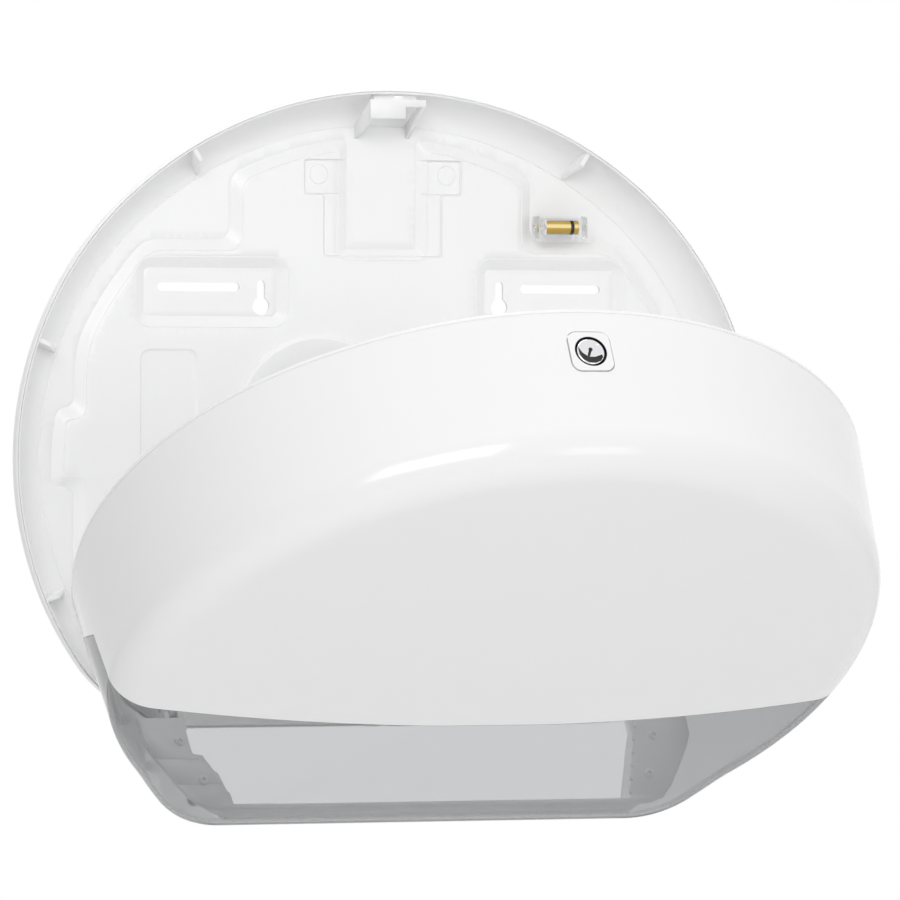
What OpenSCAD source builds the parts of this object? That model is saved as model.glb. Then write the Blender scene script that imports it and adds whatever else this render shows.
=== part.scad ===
// Jumbo toilet roll dispenser: a dished back plate that is screwed to a wall, a
// deep cover that tips forward on a low hinge, a locking catch at the top, a
// spindle for the big roll and a smaller one for the stub of the last roll.
// Millimetres. X is to the right, -Y points out of the wall at the user, +Z is up.
// Heights below are measured from the lower edge of the outline and depths from
// the wall. The finished part is shifted down so that Z = 0 is the screw line.
// The cover stands fully open, as when a roll is changed.

/* [Overall] */
// Width of the dispenser
body_w = 437; // [425:1:445]
// Height of the dispenser
body_h = 360; // [350:1:370]
// Depth from the wall to the middle of the cover's front
body_d = 133; // [130:1:145]

/* [Outline] */
// Radius of the arc across the top, before the outline is fitted to the width and height
top_r = 231; // [228:1:240]
// Height of that arc's centre
top_z = 129; // [120:1:138]
// Step from that radius down to the radius of the arc down each side
side_step = 36; // [33:1:40]
// Distance of each side arc's centre from the middle
side_x = 23.5; // [20:0.5:26]
// Radius of each lower corner
corner_r = 60; // [50:1:68]

/* [Back plate] */
// Depth of the plate's rim from the wall
rim_d = 24; // [20:1:28]
// Wall thickness of the plate
plate_t = 2.5; // [2:0.1:3]
// Width of the lip round the plate's mouth
lip_w = 2.2; // [1.8:0.1:3]
// Width of the sloping band between the mouth and the floor
slope_w = 18; // [12:1:22]
// Height of the plate's foot above the cover's foot
plate_foot = 8.5; // [7:0.5:9.5]
// Height of the raised platform above the plate's floor
platform_rise = 3; // [2:0.5:4]
// Distance from the outline's side to the platform's round edge
platform_side = 27.5; // [25:0.5:32]
// Distance from the top of the outline to the platform's round edge
platform_drop = 29; // [26:0.5:33]
// Half width of the platform above its upper shoulders
neck_half_w = 85.5; // [80:0.5:90]
// Distance from the top of the outline to the platform's upper shoulders
shoulder_drop = 86.5; // [80:0.5:90]
// Distance from the outline's side to the platform below its upper shoulders
waist_side = 43; // [41:0.5:53]
// Distance from the outline's side to the platform's side tabs
tab_side = 29; // [28.5:0.5:36]
// Height of the middle of the side tabs above the round edge's centre
tab_rise = 22; // [10:1:30]
// Height of each side tab
tab_h = 37; // [25:1:45]
// Height of the platform's lower edge
platform_low_z = 34; // [30:1:40]
// Half width of the channel from the top
channel_half_w = 23.6; // [20:0.1:26]
// Distance from the top of the outline to the channel's lower end
channel_drop = 91.2; // [86:0.2:94]

/* [Back plate recesses] */
// Depth of the shallow recesses in the platform
recess_depth = 1; // [0.5:0.1:1.3]
// Half width of the T-shaped recess's stem
stem_half_w = 35; // [31:0.5:38]
// Half width of the T-shaped recess's arms
arms_half_w = 46.5; // [42:0.5:52]
// Distance from the top of the outline to the recess's arms
arms_drop = 38.5; // [37:0.5:44]
// Height of the recess's arms
arms_h = 19.5; // [16:0.5:24]
// Radius of the round marks in the recess's arms
mark_r = 5.6; // [4:0.1:7]
// Distance between the round marks
mark_spacing = 75.4; // [73:0.2:78]
// Distance from the outline's side to each portrait panel
panel_side = 77.5; // [74:0.1:82]
// Width of each portrait panel
panel_w = 32.3; // [28:0.1:36]
// Distance from the top of the outline to each portrait panel
panel_drop = 144.5; // [140:0.5:155]
// Length of each portrait panel
panel_l = 98; // [70:1:105]

/* [Wall fixing] */
// Distance from the top of the outline to the screw line, the keyholes' round ends
screw_drop = 120; // [117:1:122]
// Distance between the keyholes
keyhole_spacing = 141; // [134:1:146]
// Radius of a keyhole's round end
keyhole_r = 5; // [4:0.1:5.5]
// Radius of a keyhole's narrow slot
keyhole_neck_r = 2.4; // [2:0.1:2.6]
// Length of the narrow slot above the round end's centre
keyhole_neck_l = 12; // [9:0.5:13]
// Distance between the middles of the level slots
slot_spacing = 214; // [208:1:220]
// Length of a level slot, end to end
slot_l = 48; // [36:1:52]
// Radius of a level slot's ends
slot_r = 2.4; // [2:0.1:3]
// Height of the level slots above the screw line
slot_rise = 10.3; // [8:0.1:11]
// Distance from the middle to each fixing pocket's inner edge
pocket_in_x = 58.5; // [56:0.5:60]
// Width of each fixing pocket
pocket_w = 83.5; // [80:0.5:86]
// Height of each fixing pocket
pocket_h = 33; // [30:0.5:36]
// Corner radius of each fixing pocket
pocket_r = 6; // [4:0.5:10]
// Height of the pockets' middle above the screw line
pocket_rise = 7.6; // [6:0.1:9]
// Radius of the pad that meets the wall at the middle of the screw line
wall_pad_r = 14; // [8:0.5:18]

/* [Rim ribs] */
// Thickness of the small ribs in the rim
rib_t = 2.4; // [1.6:0.1:3]
// Reach of the ribs across the floor
rib_reach = 22; // [16:1:26]
// Angle of the upper ribs from the level
rib_high_a = 58; // [54:1:62]
// Angle of the middle ribs from the level
rib_mid_a = 21.5; // [18:0.5:26]
// Angle of the lower ribs from the level
rib_low_a = -17; // [-20:0.5:-12]

/* [Striker] */
// Width of the striker's bracket
striker_w = 32.5; // [32:0.5:40]
// Thickness of the striker's walls
striker_t = 2.5; // [2:0.1:3]
// Distance of the striker's front face in front of the plate's rim
striker_out = 5.5; // [4.5:0.1:6.5]
// Height of the striker's front plate
striker_h = 10.5; // [9:0.5:12]
// Distance of the striker's top edge below the top of the outline
striker_drop = 5.5; // [5:0.1:7]
// Height of the strip across the top of the striker
striker_strip_h = 4; // [3:0.1:4.5]
// Width of the striker's front plate, which leaves a notch beside it
striker_plate_w = 20.5; // [19:0.5:21.5]

/* [Hinge] */
// Distance of the hinge line in front of the plate's rim
hinge_out = 23; // [21:0.5:25]
// Height of the hinge line
hinge_z = 21.3; // [20.5:0.1:22.5]
// Angle that the cover opens
open_angle = 54; // [45:1:58]
// Distance from the frame's rear corner in to each hinge arm's middle
hinge_side = 28.5; // [28:0.1:30]
// Thickness of a hinge arm
arm_t = 4; // [3:0.1:4.4]
// Width of a hinge arm's bar
arm_w = 8; // [6:0.5:9]
// Radius of a hinge arm's eye
eye_r = 6.5; // [5.5:0.1:7]
// Angle at which a hinge arm climbs back to the plate
arm_rise = 34; // [32:1:38]
// Thickness of an ear on the cover's frame
ear_t = 3; // [2.4:0.1:3.2]
// Side clearance between an arm and an ear
side_gap = 0.4; // [0.3:0.05:0.6]
// Radius of a hinge pin
pin_r = 3; // [2:0.1:3.5]
// Radial clearance of a turning pin or axle in its bore
running_gap = 0.05; // [0.02:0.01:0.09]
// Gap between the stop and the arm in the open pose
stop_gap = 0.2; // [0.1:0.05:0.3]

/* [Cover] */
// Wall thickness of the cover
cover_t = 2.6; // [2.2:0.1:3]
// Gap between the plate's rim and the cover's rim when shut
rim_gap = 0.5; // [0.4:0.1:1]
// Inward draft of the cover's side wall
cover_draft = 6; // [4:0.5:8]
// Radius of the cover's front edge
front_r = 24; // [18:1:26]
// Bulge of the cover's front face
front_bulge = 15; // [10:0.5:18]
// Distance of the cover's lower rear edge in front of the plate's rim
relief_out = 10; // [9:0.5:12]
// Height of that cut-back edge
relief_h = 26; // [25:0.5:30]
// Draft of the cover's foot
foot_draft = 2.2; // [1.5:0.1:3]
// Rounding of the foot's front edge
foot_r = 9.5; // [8:0.5:11]
// Distance of the foot's front edge behind the cover's front
foot_back = 16.5; // [15:0.5:18]
// Height over which the foot's form fades into the sides
foot_h = 38; // [34:1:44]

/* [Window] */
// Depth of the window's pointed tip on the cover's sides
tip_d = 67; // [60:1:75]
// Height of that tip
tip_z = 122; // [115:1:125]
// Height of the window's edge at the cover's front
edge_z = 129; // [126:1:135]
// Height of the window's edge at the cover's rim
foot_z = 52; // [45:1:60]
// Gap between the window and the shell
seam_gap = 0.2; // [0.15:0.05:0.4]
// Reach of the window's lip behind the shell
lip_reach = 7; // [5:0.5:9]
// Thickness of the window's lip
lip_t = 1.8; // [1.4:0.1:2.2]

/* [Outlet frame] */
// Height of the frame's upper face
frame_z = 27; // [26:0.1:28]
// Thickness of the frame
frame_t = 2.5; // [2:0.1:2.8]
// Distance from the outline's side to the outlet's rear corner
outlet_rear_side = 34.5; // [33:0.5:37]
// Distance from the outline's side to the outlet's front corner
outlet_front_side = 50.5; // [48:0.5:54]
// Distance of the outlet's front edge behind the cover's front
outlet_front_gap = 20; // [19.5:0.1:22]
// Gap between the frame's edge and the cover's inside
frame_gap = 0.6; // [0.4:0.1:0.8]
// Thickness of the skirt round the outlet
skirt_t = 2; // [1.6:0.1:2.2]
// Height of a tear tooth
tooth_h = 4.5; // [3:0.5:5]
// Distance from tooth to tooth
tooth_pitch = 12; // [10:0.5:13]
// Radius of a frame screw's shank
frame_screw_r = 1.4; // [1.2:0.1:1.6]
// Radius of a frame screw's boss
frame_boss_r = 3.5; // [3:0.1:4]

/* [Spindle] */
// Distance of the main spindle to the left of the middle
spindle_x = 38.2; // [34:0.1:42]
// Height of the main spindle
spindle_z = 175; // [170:0.5:180]
// Radius of the spindle's base
base_r = 49; // [45:0.5:50]
// Thickness of the spindle's base
base_t = 4; // [3:0.5:5]
// Radius of the raised ring on the base
base_ring_r = 35; // [33:0.5:37]
// Radius of the base's boss
base_boss_r = 16; // [14:0.5:18]
// Length of the base's boss in front of its plate
base_boss_l = 10; // [8:0.5:11]
// Radius of the spindle's axle
axle_r = 6; // [5:0.1:7]
// Distance of the axle's front end behind the cover's front
axle_gap = 21; // [19:0.5:25]
// Radius of the roll hub's barrel
hub_r = 17; // [15:0.5:18]
// Radius across the roll hub's fins
fin_r = 21.5; // [20:0.5:24]
// Radius of the roll hub's rear flange
hub_flange_r = 36; // [30:0.5:40]
// Thickness of the hub's flange and of its fins
hub_t = 3; // [2:0.1:4]
// Thickness of the friction washer behind the hub
washer_t = 1.5; // [1:0.1:2]
// Radius of a base screw's shank
base_screw_r = 1.5; // [1.2:0.1:2]
// Radius of the circle of base screws
base_screw_pcr = 42; // [40:0.5:43]

/* [Stub spindle] */
// Distance from the outline's side to the stub spindle
stub_side = 70.5; // [66.5:0.5:74.5]
// Height of the stub spindle
stub_z = 160; // [155:0.5:170]
// Radius of the stub spindle's base
stub_base_r = 22; // [20:0.5:24]
// Radius of the stub spindle's axle
stub_axle_r = 4; // [3:0.1:5]
// Radius of the stub roll's hub
stub_hub_r = 12; // [10:0.5:14]
// Radius of the stub hub's rear flange
stub_flange_r = 19; // [17:0.5:21]
// Distance of the stub axle's front end behind the cover's front
stub_gap = 25; // [21:0.5:29]
// Radius of the circle of stub base screws
stub_screw_pcr = 17; // [16:0.5:18]

/* [Lock] */
// Distance of the lock's axis in front of the plate's rim, at the cover's outside
lock_out = 26.2; // [25:0.2:27]
// Width of the lock's square nose
nose_w = 23; // [21:0.5:25]
// Corner radius of the lock's square nose
nose_r = 5; // [3:0.5:6]
// Gap round the lock's nose
nose_gap = 0.4; // [0.2:0.05:0.6]
// Radius of the lock's plug
plug_r = 8.8; // [8:0.1:9.2]
// Length of the lock's nose behind the cover's outside
nose_l = 11; // [10:0.5:12]
// Thickness of the lock's flange
lock_flange_t = 2.5; // [2:0.1:3]
// Distance between the lock's screws
lock_screw_spacing = 37; // [35:0.5:40]
// Length of the lock's plug behind the cover's outside
plug_l = 17; // [16.5:0.1:17.5]
// Thickness of the lock's cam
cam_t = 3; // [2.4:0.1:3.4]
// Gap between the cam's locked finger and the striker's back
catch_gap = 3.2; // [2.7:0.1:3.6]
// Width of the cam's arm and finger
cam_w = 5; // [4:0.5:5.5]
// Thickness of the cam's finger
finger_t = 3.2; // [2.8:0.1:3.6]
// Height of the cam's finger above its arm
finger_h = 6.5; // [5:0.5:6.5]
// Angle of the cam from straight back when it is unlocked
free_angle = 23; // [22:0.5:24]

/* [Bubble level] */
// Distance of the level to the right of the middle
level_x = 103.5; // [100:0.5:112]
// Distance from the top of the outline to the level
level_drop = 75; // [72:0.5:77]
// Length of the level's clear holder
holder_l = 29; // [28:0.5:34]
// Height of the level's clear holder
holder_h = 12.6; // [11.5:0.1:14]
// Length of the level's vial
vial_l = 19.5; // [18:0.5:22]
// Outer radius of the vial
vial_r = 3.9; // [3.4:0.1:4.2]
// Wall thickness of the vial
vial_t = 0.8; // [0.5:0.1:1]
// Length of the vial's end plug
vial_plug_l = 2.5; // [1.5:0.1:3]

/* [Hidden] */
$fn = 64;
// Overshoot of every cut past the face it opens
cut = 1;
// Overlap of a moulded feature with the wall that it grows from
root = 0.5;
// Reach of a region that takes in everything beyond it
beyond = 10;

// Fading of a foot's form with height
foot_fade = 1.34;

// Outline: three tangent arcs on each side, fitted to the width and the height
side_r = top_r - side_step;
fit_x = body_w / 2 / (side_x + side_r);
fit_z = body_h / (top_z + top_r);
side_z = top_z + sqrt(pow(side_step, 2) - pow(side_x, 2));
corner_x = side_x + sqrt(pow(side_r - corner_r, 2) - pow(side_z - corner_r, 2));
top_end_a = atan2(side_z - top_z, side_x);
side_end_a = atan2(corner_r - side_z, corner_x - side_x);
top_steps = 14;
side_steps = 16;
corner_steps = 8;

// The points of an arc of the outline, drawn in by inset, without its last one
function arc(cx, cz, r, a0, a1, steps, inset) =
    [for (i = [0:steps - 1])
        let (a = a0 + (a1 - a0) * i / steps, out = [cos(a) / fit_x, sin(a) / fit_z])
        [fit_x * (cx + r * cos(a)), fit_z * (cz + r * sin(a))] - inset * out / norm(out)];

// The dispenser's outline, drawn in by inset, clockwise from its upper left
function outline(inset) = concat(
    arc(0, top_z, top_r, 180 - top_end_a, top_end_a, top_steps, inset),
    arc(side_x, side_z, side_r, top_end_a, side_end_a, side_steps, inset),
    arc(corner_x, corner_r, corner_r, side_end_a, -90, corner_steps, inset),
    arc(-corner_x, corner_r, corner_r, -90, -180 - side_end_a, corner_steps, inset),
    arc(-side_x, side_z, side_r, -180 - side_end_a, -180 - top_end_a, side_steps, inset)
);

// Half the outline's width at a height in its lower corners
function half_w_at(z) = fit_x * (corner_x + sqrt(pow(corner_r, 2) - pow(corner_r - z / fit_z, 2)));

// Depths and places that several sub-parts share
screw_line_h = body_h - screw_drop;
striker_d = rim_d + striker_out;
hinge_d = rim_d + hinge_out;
lock_d = rim_d + lock_out;
frame_low_z = frame_z - frame_t;
ear_r = eye_r + 0.5;
frame_rear_d = hinge_d + ear_r + 3;
outlet_rear_x = half_w_at(frame_low_z) - outlet_rear_side;
outlet_front_x = half_w_at(frame_low_z) - outlet_front_side;
outlet_front_d = body_d - outlet_front_gap;
hinge_x = half_w_at(frame_low_z) - hinge_side;

// Height about which the front's domed rings shrink
dome_z = body_h * 0.46;

// Share that a point of the outline takes of a form's foot, by its height
function foot_share(z) = pow(max(0, 1 - z / (fit_z * foot_h)), foot_fade);

// A solid through rings of [inset, depth, scale, inset at the foot, depth at the foot],
// ordered from the wall outwards
module loft(rings) {
    base = outline(0);
    n = len(base);
    points = [
        for (ring = rings)
            let (upper = outline(ring[0]), lower = outline(ring[3]))
            for (j = [0:n - 1])
                let (
                    share = foot_share(base[j][1]),
                    p = upper[j] + share * (lower[j] - upper[j]),
                    d = ring[1] + share * (ring[4] - ring[1])
                )
                [p[0] * ring[2], -d, dome_z + (p[1] - dome_z) * ring[2]]
    ];
    last = (len(rings) - 1) * n;
    sides = [
        for (i = [0:len(rings) - 2], j = [0:n - 1], half = [0, 1])
            let (a = i * n + j, b = i * n + (j + 1) % n)
            half == 0 ? [a, b, b + n] : [a, b + n, a + n]
    ];
    back_cap = [for (j = [n - 1:-1:0]) j];
    front_cap = [for (j = [0:n - 1]) last + j];
    polyhedron(points, concat([back_cap], sides, [front_cap]), convexity = 6);
}

// Rings round a quarter ellipse from the floor [in1, d1] up to the mouth [in0, d0]
function bowl_rings(in0, d0, in1, d1, steps) = [
    for (i = [steps:-1:0]) let (a = 90 * i / steps)
        plate_ring(in0 + (in1 - in0) * (1 - cos(a)), d0 - (d0 - d1) * sin(a))
];
// A ring of the plate, whose foot stands higher than the cover's
function plate_ring(inset, d) = [inset, d, 1, inset + plate_foot, d];

// Shapes drawn as seen from the front, X across and Z up, between two depths
module slab(d0, d1) {
    translate([0, -d0, 0]) rotate([90, 0, 0]) linear_extrude(d1 - d0) children();
}
// Shapes drawn as seen from the left, depth across and Z up, between two widths
module side_slab(x0, x1) {
    translate([x1, 0, 0]) rotate([90, 0, -90]) linear_extrude(x1 - x0) children();
}
// Shapes drawn as seen from above, X across and depth down, between two heights
module plan_slab(z0, z1) {
    translate([0, 0, z0]) mirror([0, 1, 0]) linear_extrude(z1 - z0) children();
}
// Turned shapes with their axis pointing out of the wall, from depth d
module out_of_wall(x, z, d) {
    translate([x, -d, z]) rotate([90, 0, 0]) children();
}
module both_sides() {
    children();
    mirror([1, 0, 0]) children();
}
module rounded_rect(w, h, r) {
    square([w - 2 * r, h], center = true);
    square([w, h - 2 * r], center = true);
    for (x = [-1, 1], z = [-1, 1])
        translate([x * (w / 2 - r), z * (h / 2 - r)]) circle(r);
}
// The whole part hangs from its screw line
module hung() {
    translate([0, 0, -screw_line_h]) children();
}
// The cover and all it carries, tipped open about the hinge line
module opened() {
    hung() translate([0, -hinge_d, hinge_z]) rotate([open_angle, 0, 0])
        translate([0, hinge_d, -hinge_z]) children();
}

// ---------------------------------------------------------------- back plate
floor_inset = lip_w + slope_w;
mouth_d = rim_d - 3;
platform_r = body_w / 2 - platform_side;
platform_z = body_h - platform_drop - platform_r;
tab_z = platform_z + tab_rise;
shoulder_z = body_h - shoulder_drop;
channel_low_z = body_h - channel_drop;
arms_top_z = body_h - arms_drop;
arms_low_z = arms_top_z - arms_h;
panel_top_z = body_h - panel_drop;
level_z = body_h - level_drop;
stub_x = body_w / 2 - stub_side;
platform_d = plate_t + platform_rise;
relief_top_d = platform_d - plate_t;
pocket_x = pocket_in_x + pocket_w / 2;
pocket_z = screw_line_h + pocket_rise;
slot_z = screw_line_h + slot_rise;

module plate_dish() {
    difference() {
        loft(concat(bowl_rings(0, mouth_d, floor_inset - plate_t, 0, 6), [plate_ring(0, rim_d)]));
        difference() {
            loft(concat(bowl_rings(lip_w, mouth_d, floor_inset, plate_t, 6), [plate_ring(lip_w, rim_d + cut)]));
            rim_ribs();
        }
    }
}

// Small upright ribs that stiffen the rim; the dish's outside trims them
module rim_ribs() {
    both_sides() for (a = [rib_high_a, rib_mid_a, rib_low_a])
        translate([0, 0, platform_z]) rotate([0, -a, 0])
            rotate([90, 0, 0]) translate([0, 0, plate_t - cut]) rib_wedge(a);
}
rib_top_gap = 2;
rib_top_share = 0.35;
module rib_wedge(a) {
    rim = rim_reach(a);
    height = rim_d - plate_t - rib_top_gap + cut;
    rotate([90, 0, 0]) translate([0, 0, -rib_t / 2]) linear_extrude(rib_t) polygon([
        [rim - rib_reach, 0], [rim + lip_w, 0], [rim + lip_w, height],
        [rim - rib_reach * rib_top_share, height]
    ]);
}
// Distance from the ribs' centre out to the rim's inside, along an angle
function rim_reach(a) =
    let (
        high = a > top_end_a,
        r = high ? top_r : side_r,
        way = [cos(a) / fit_x, sin(a) / fit_z],
        to_centre = [high ? 0 : side_x, (high ? top_z : side_z) - platform_z / fit_z],
        along = way * to_centre
    )
    (along + sqrt(along * along - way * way * (to_centre * to_centre - r * r))) / (way * way) - lip_w;

// The platform seen from the front, drawn in by inset
module platform_shape(inset) {
    difference() {
        intersection() {
            translate([0, platform_z]) circle(platform_r - inset, $fn = 180);
            union() {
                platform_band(neck_half_w - inset, platform_low_z + inset, body_h);
                platform_band(body_w / 2 - waist_side - inset, platform_low_z + inset, shoulder_z - inset);
                platform_band(body_w / 2 - tab_side - inset, tab_z - tab_h / 2 + inset, tab_z + tab_h / 2 - inset);
            }
            polygon(outline(floor_inset + inset));
        }
        platform_band(channel_half_w + inset, channel_low_z - inset, body_h);
    }
}
module platform_band(half_w, low, high) {
    translate([-half_w, low]) square([2 * half_w, high - low]);
}
module pocket_shape(grow) {
    both_sides() translate([pocket_x, pocket_z])
        rounded_rect(pocket_w + 2 * grow, pocket_h + 2 * grow, pocket_r + grow);
}
stem_lip = 1.3;
module t_recess_shape() {
    platform_band(arms_half_w, arms_low_z, arms_top_z);
    platform_band(stem_half_w, channel_low_z - stem_lip, arms_low_z + cut);
}
module panel_shape() {
    both_sides() translate([body_w / 2 - panel_side - panel_w / 2, panel_top_z - panel_l / 2])
        rounded_rect(panel_w, panel_l, pocket_r);
}
// Round marks where the mould's ejector pins stood
mark_depth = 0.3;
mark_w = 0.6;
mark_z = arms_top_z - 8.25;
module ejector_marks() {
    for (side = [-1, 1])
        out_of_wall(side * mark_spacing / 2, mark_z, platform_d - recess_depth - mark_depth) difference() {
            cylinder(r = mark_r, h = cut);
            translate([0, 0, -cut]) cylinder(r = mark_r - mark_w, h = 3 * cut);
        }
}

// Where the plate stays solid down to the wall behind the platform
module solid_spots() {
    translate([0, screw_line_h]) circle(wall_pad_r);
    for (p = concat(base_screw_places(), stub_screw_places()))
        translate(p) circle(base_screw_r * 2.6);
    both_sides() translate([hinge_x - arm_t / 2 - plate_t, arm_foot_z - arm_foot_h / 2 - plate_t])
        square([arm_t + 2 * plate_t, arm_foot_h + 2 * plate_t]);
}

module wall_fixings() {
    both_sides() slab(-cut, platform_d + cut) {
        translate([slot_spacing / 2, slot_z]) {
            square([slot_l - 2 * slot_r, 2 * slot_r], center = true);
            for (end = [-1, 1]) translate([end * (slot_l / 2 - slot_r), 0]) circle(slot_r);
        }
        translate([keyhole_spacing / 2, screw_line_h]) {
            circle(keyhole_r);
            translate([-keyhole_neck_r, 0]) square([2 * keyhole_neck_r, keyhole_neck_l]);
            translate([0, keyhole_neck_l]) circle(keyhole_neck_r);
        }
    }
}

// Hinge arms: each climbs from its eye back to the plate
arm_foot_z = hinge_z + (hinge_d - platform_d) * tan(arm_rise);
arm_foot_h = arm_w / cos(arm_rise) * 2;
arm_foot_l = 16;
module hinge_arm_shape() {
    foot_end_z = arm_foot_z - arm_foot_l * tan(arm_rise);
    translate([hinge_d, hinge_z]) {
        circle(eye_r);
        rotate(180 - arm_rise) translate([0, -arm_w / 2]) square([hinge_d * 0.8, arm_w]);
    }
    // The foot widens where it meets the platform
    polygon([
        [platform_d - root, arm_foot_z - arm_foot_h / 2], [platform_d - root, arm_foot_z + arm_foot_h / 2],
        [platform_d + arm_foot_l, foot_end_z + arm_w / 2], [platform_d + arm_foot_l, foot_end_z - arm_w / 2]
    ]);
}
module hinge_arms() {
    both_sides() intersection() {
        side_slab(hinge_x - arm_t / 2, hinge_x + arm_t / 2) hinge_arm_shape();
        translate([0, -hinge_d - eye_r - cut, 0])
            cube([body_w / 2, hinge_d + eye_r + cut - platform_d + root, body_h / 2]);
    }
}

// Striker: a front plate on two sloping cheeks, with a notch for the cam's finger
striker_top_z = body_h - striker_drop;
web_rear_d = rim_d * 0.4;
cheek_foot_high = 13.5;
cheek_foot_low = 21.5;
cheek_t = 2;
web_side = 8.5;
module striker() {
    plate_back_d = striker_d - striker_t;
    slab(plate_back_d, striker_d) {
        translate([-striker_w / 2, striker_top_z - striker_strip_h]) square([striker_w, striker_strip_h]);
        translate([-striker_w / 2, striker_top_z - striker_h]) square([striker_plate_w, striker_h]);
    }
    // A web joins the strip to the rim behind it
    translate([web_side - striker_w / 2, -plate_back_d - root, striker_top_z - striker_t])
        cube([striker_w - web_side - cheek_t / 2, plate_back_d + root - web_rear_d, striker_t]);
    side_slab(-striker_w / 2, cheek_t - striker_w / 2) cheek_shape(striker_h);
    side_slab(striker_w / 2 - cheek_t, striker_w / 2) cheek_shape(striker_strip_h);
}
// A cheek from the side; its front edge is as high as what it carries
module cheek_shape(front_h) {
    polygon([
        [striker_d, striker_top_z], [striker_d, striker_top_z - front_h],
        [plate_t - root, striker_top_z - cheek_foot_low], [plate_t - root, striker_top_z - cheek_foot_high]
    ]);
}

module back_plate() {
    color("white") hung() difference() {
        union() {
            plate_dish();
            slab(plate_t - root, platform_d) difference() {
                platform_shape(0);
                pocket_shape(0);
            }
            hinge_arms();
            striker();
        }
        slab(-cut, relief_top_d) difference() {
            platform_shape(plate_t);
            pocket_shape(plate_t);
            solid_spots();
        }
        slab(platform_d - recess_depth, platform_d + cut) {
            intersection() {
                t_recess_shape();
                platform_shape(0);
            }
            panel_shape();
        }
        ejector_marks();
        wall_fixings();
        for (p = concat(base_screw_places(), stub_screw_places()))
            out_of_wall(p[0], p[1], screw_tip_d) cylinder(r = base_screw_r, h = platform_d);
        both_sides() translate([hinge_x - arm_t, -hinge_d, hinge_z])
            rotate([0, 90, 0]) cylinder(r = pin_r + running_gap, h = 2 * arm_t);
        translate([level_x, 0, level_z]) holder_pegs(vial_play);
    }
}

// ------------------------------------------------------------- main spindle
screw_tip_d = 1;
boss_front_d = platform_d + base_t + base_boss_l;
axle_end_d = body_d - axle_gap;
hub_back_d = boss_front_d + washer_t;
hub_cap_in = 4;
hub_l = axle_end_d - hub_cap_in - hub_back_d;
cap_gap = 0.2;
base_ring_h = 1.5;
base_ring_w = 3;
screw_play = 0.3;
function base_screw_places() = [
    for (a = [35, 155, 275]) [-spindle_x + base_screw_pcr * cos(a), spindle_z + base_screw_pcr * sin(a)]
];
function stub_screw_places() = [
    for (a = [90, 210, 330]) [stub_x + stub_screw_pcr * cos(a), stub_z + stub_screw_pcr * sin(a)]
];

module spindle_base() {
    color("whitesmoke") hung() difference() {
        out_of_wall(-spindle_x, spindle_z, platform_d) {
            rotate_extrude($fn = 96) polygon([
                [axle_r, 0], [base_r, 0], [base_r, base_t / 2], [base_r - base_t / 2, base_t],
                [base_ring_r + 1, base_t], [base_ring_r, base_t + base_ring_h],
                [base_ring_r - base_ring_w, base_t + base_ring_h],
                [base_boss_r + 2 * base_ring_w, base_t + base_ring_h], [base_boss_r, base_t + base_boss_l / 2],
                [base_boss_r, base_t + base_boss_l], [axle_r, base_t + base_boss_l]
            ]);
        }
        for (p = base_screw_places())
            out_of_wall(p[0], p[1], platform_d - cut) cylinder(r = base_screw_r + screw_play, h = base_t + 2 * cut);
    }
}

// A cross-recessed pan head of radius r
module pan_head(r) {
    head_h = r * 0.66;
    difference() {
        rotate_extrude() polygon([[0, 0], [r, 0], [r, head_h * 0.6], [r * 0.73, head_h], [0, head_h]]);
        for (a = [0, 90])
            rotate(a) translate([-r * 0.53, -r * 0.13, head_h / 2]) cube([r * 1.06, r * 0.26, head_h]);
    }
}
// A screw whose head's underside stands at depth head_d
module wall_side_screw(p, head_d) {
    out_of_wall(p[0], p[1], screw_tip_d + screw_play) cylinder(r = base_screw_r, h = head_d - screw_tip_d);
    out_of_wall(p[0], p[1], head_d) pan_head(2 * base_screw_r);
}
module spindle_screws() {
    color("silver") hung() for (p = base_screw_places()) wall_side_screw(p, platform_d + base_t);
}

module spindle_axle() {
    plain_l = axle_end_d - platform_d - 1;
    color("silver") hung() out_of_wall(-spindle_x, spindle_z, platform_d) {
        cylinder(r = axle_r, h = plain_l);
        translate([0, 0, plain_l]) cylinder(r1 = axle_r, r2 = axle_r - 1, h = 1);
    }
}
module friction_washer() {
    color("dimgray") hung() out_of_wall(-spindle_x, spindle_z, boss_front_d) difference() {
        cylinder(r = base_boss_r - 1, h = washer_t - 0.1);
        translate([0, 0, -cut]) cylinder(r = axle_r, h = washer_t + 2 * cut);
    }
}
hub_wall = 2.5;
core_floor = 10;
fin_taper = 8;
module roll_hub() {
    fin_l = hub_l - hub_t;
    color("gainsboro") hung() out_of_wall(-spindle_x, spindle_z, hub_back_d) difference() {
        union() {
            cylinder(r = hub_flange_r, h = hub_t, $fn = 96);
            cylinder(r = hub_r, h = hub_l);
            for (a = [45:90:315])
                rotate([90, 0, a]) translate([0, hub_t - root, -hub_t / 2]) linear_extrude(hub_t)
                    polygon([[hub_r - 1, 0], [fin_r, 0], [fin_r, fin_l - fin_taper], [hub_r - 1, fin_l]]);
        }
        translate([0, 0, -cut]) cylinder(r = axle_r + running_gap, h = hub_l + 2 * cut);
        // The barrel is cored out from its front, round a bearing sleeve
        translate([0, 0, core_floor]) difference() {
            cylinder(r = hub_r - hub_wall, h = hub_l);
            translate([0, 0, -cut]) cylinder(r = axle_r + hub_wall, h = hub_l + 2 * cut);
        }
    }
}
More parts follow.
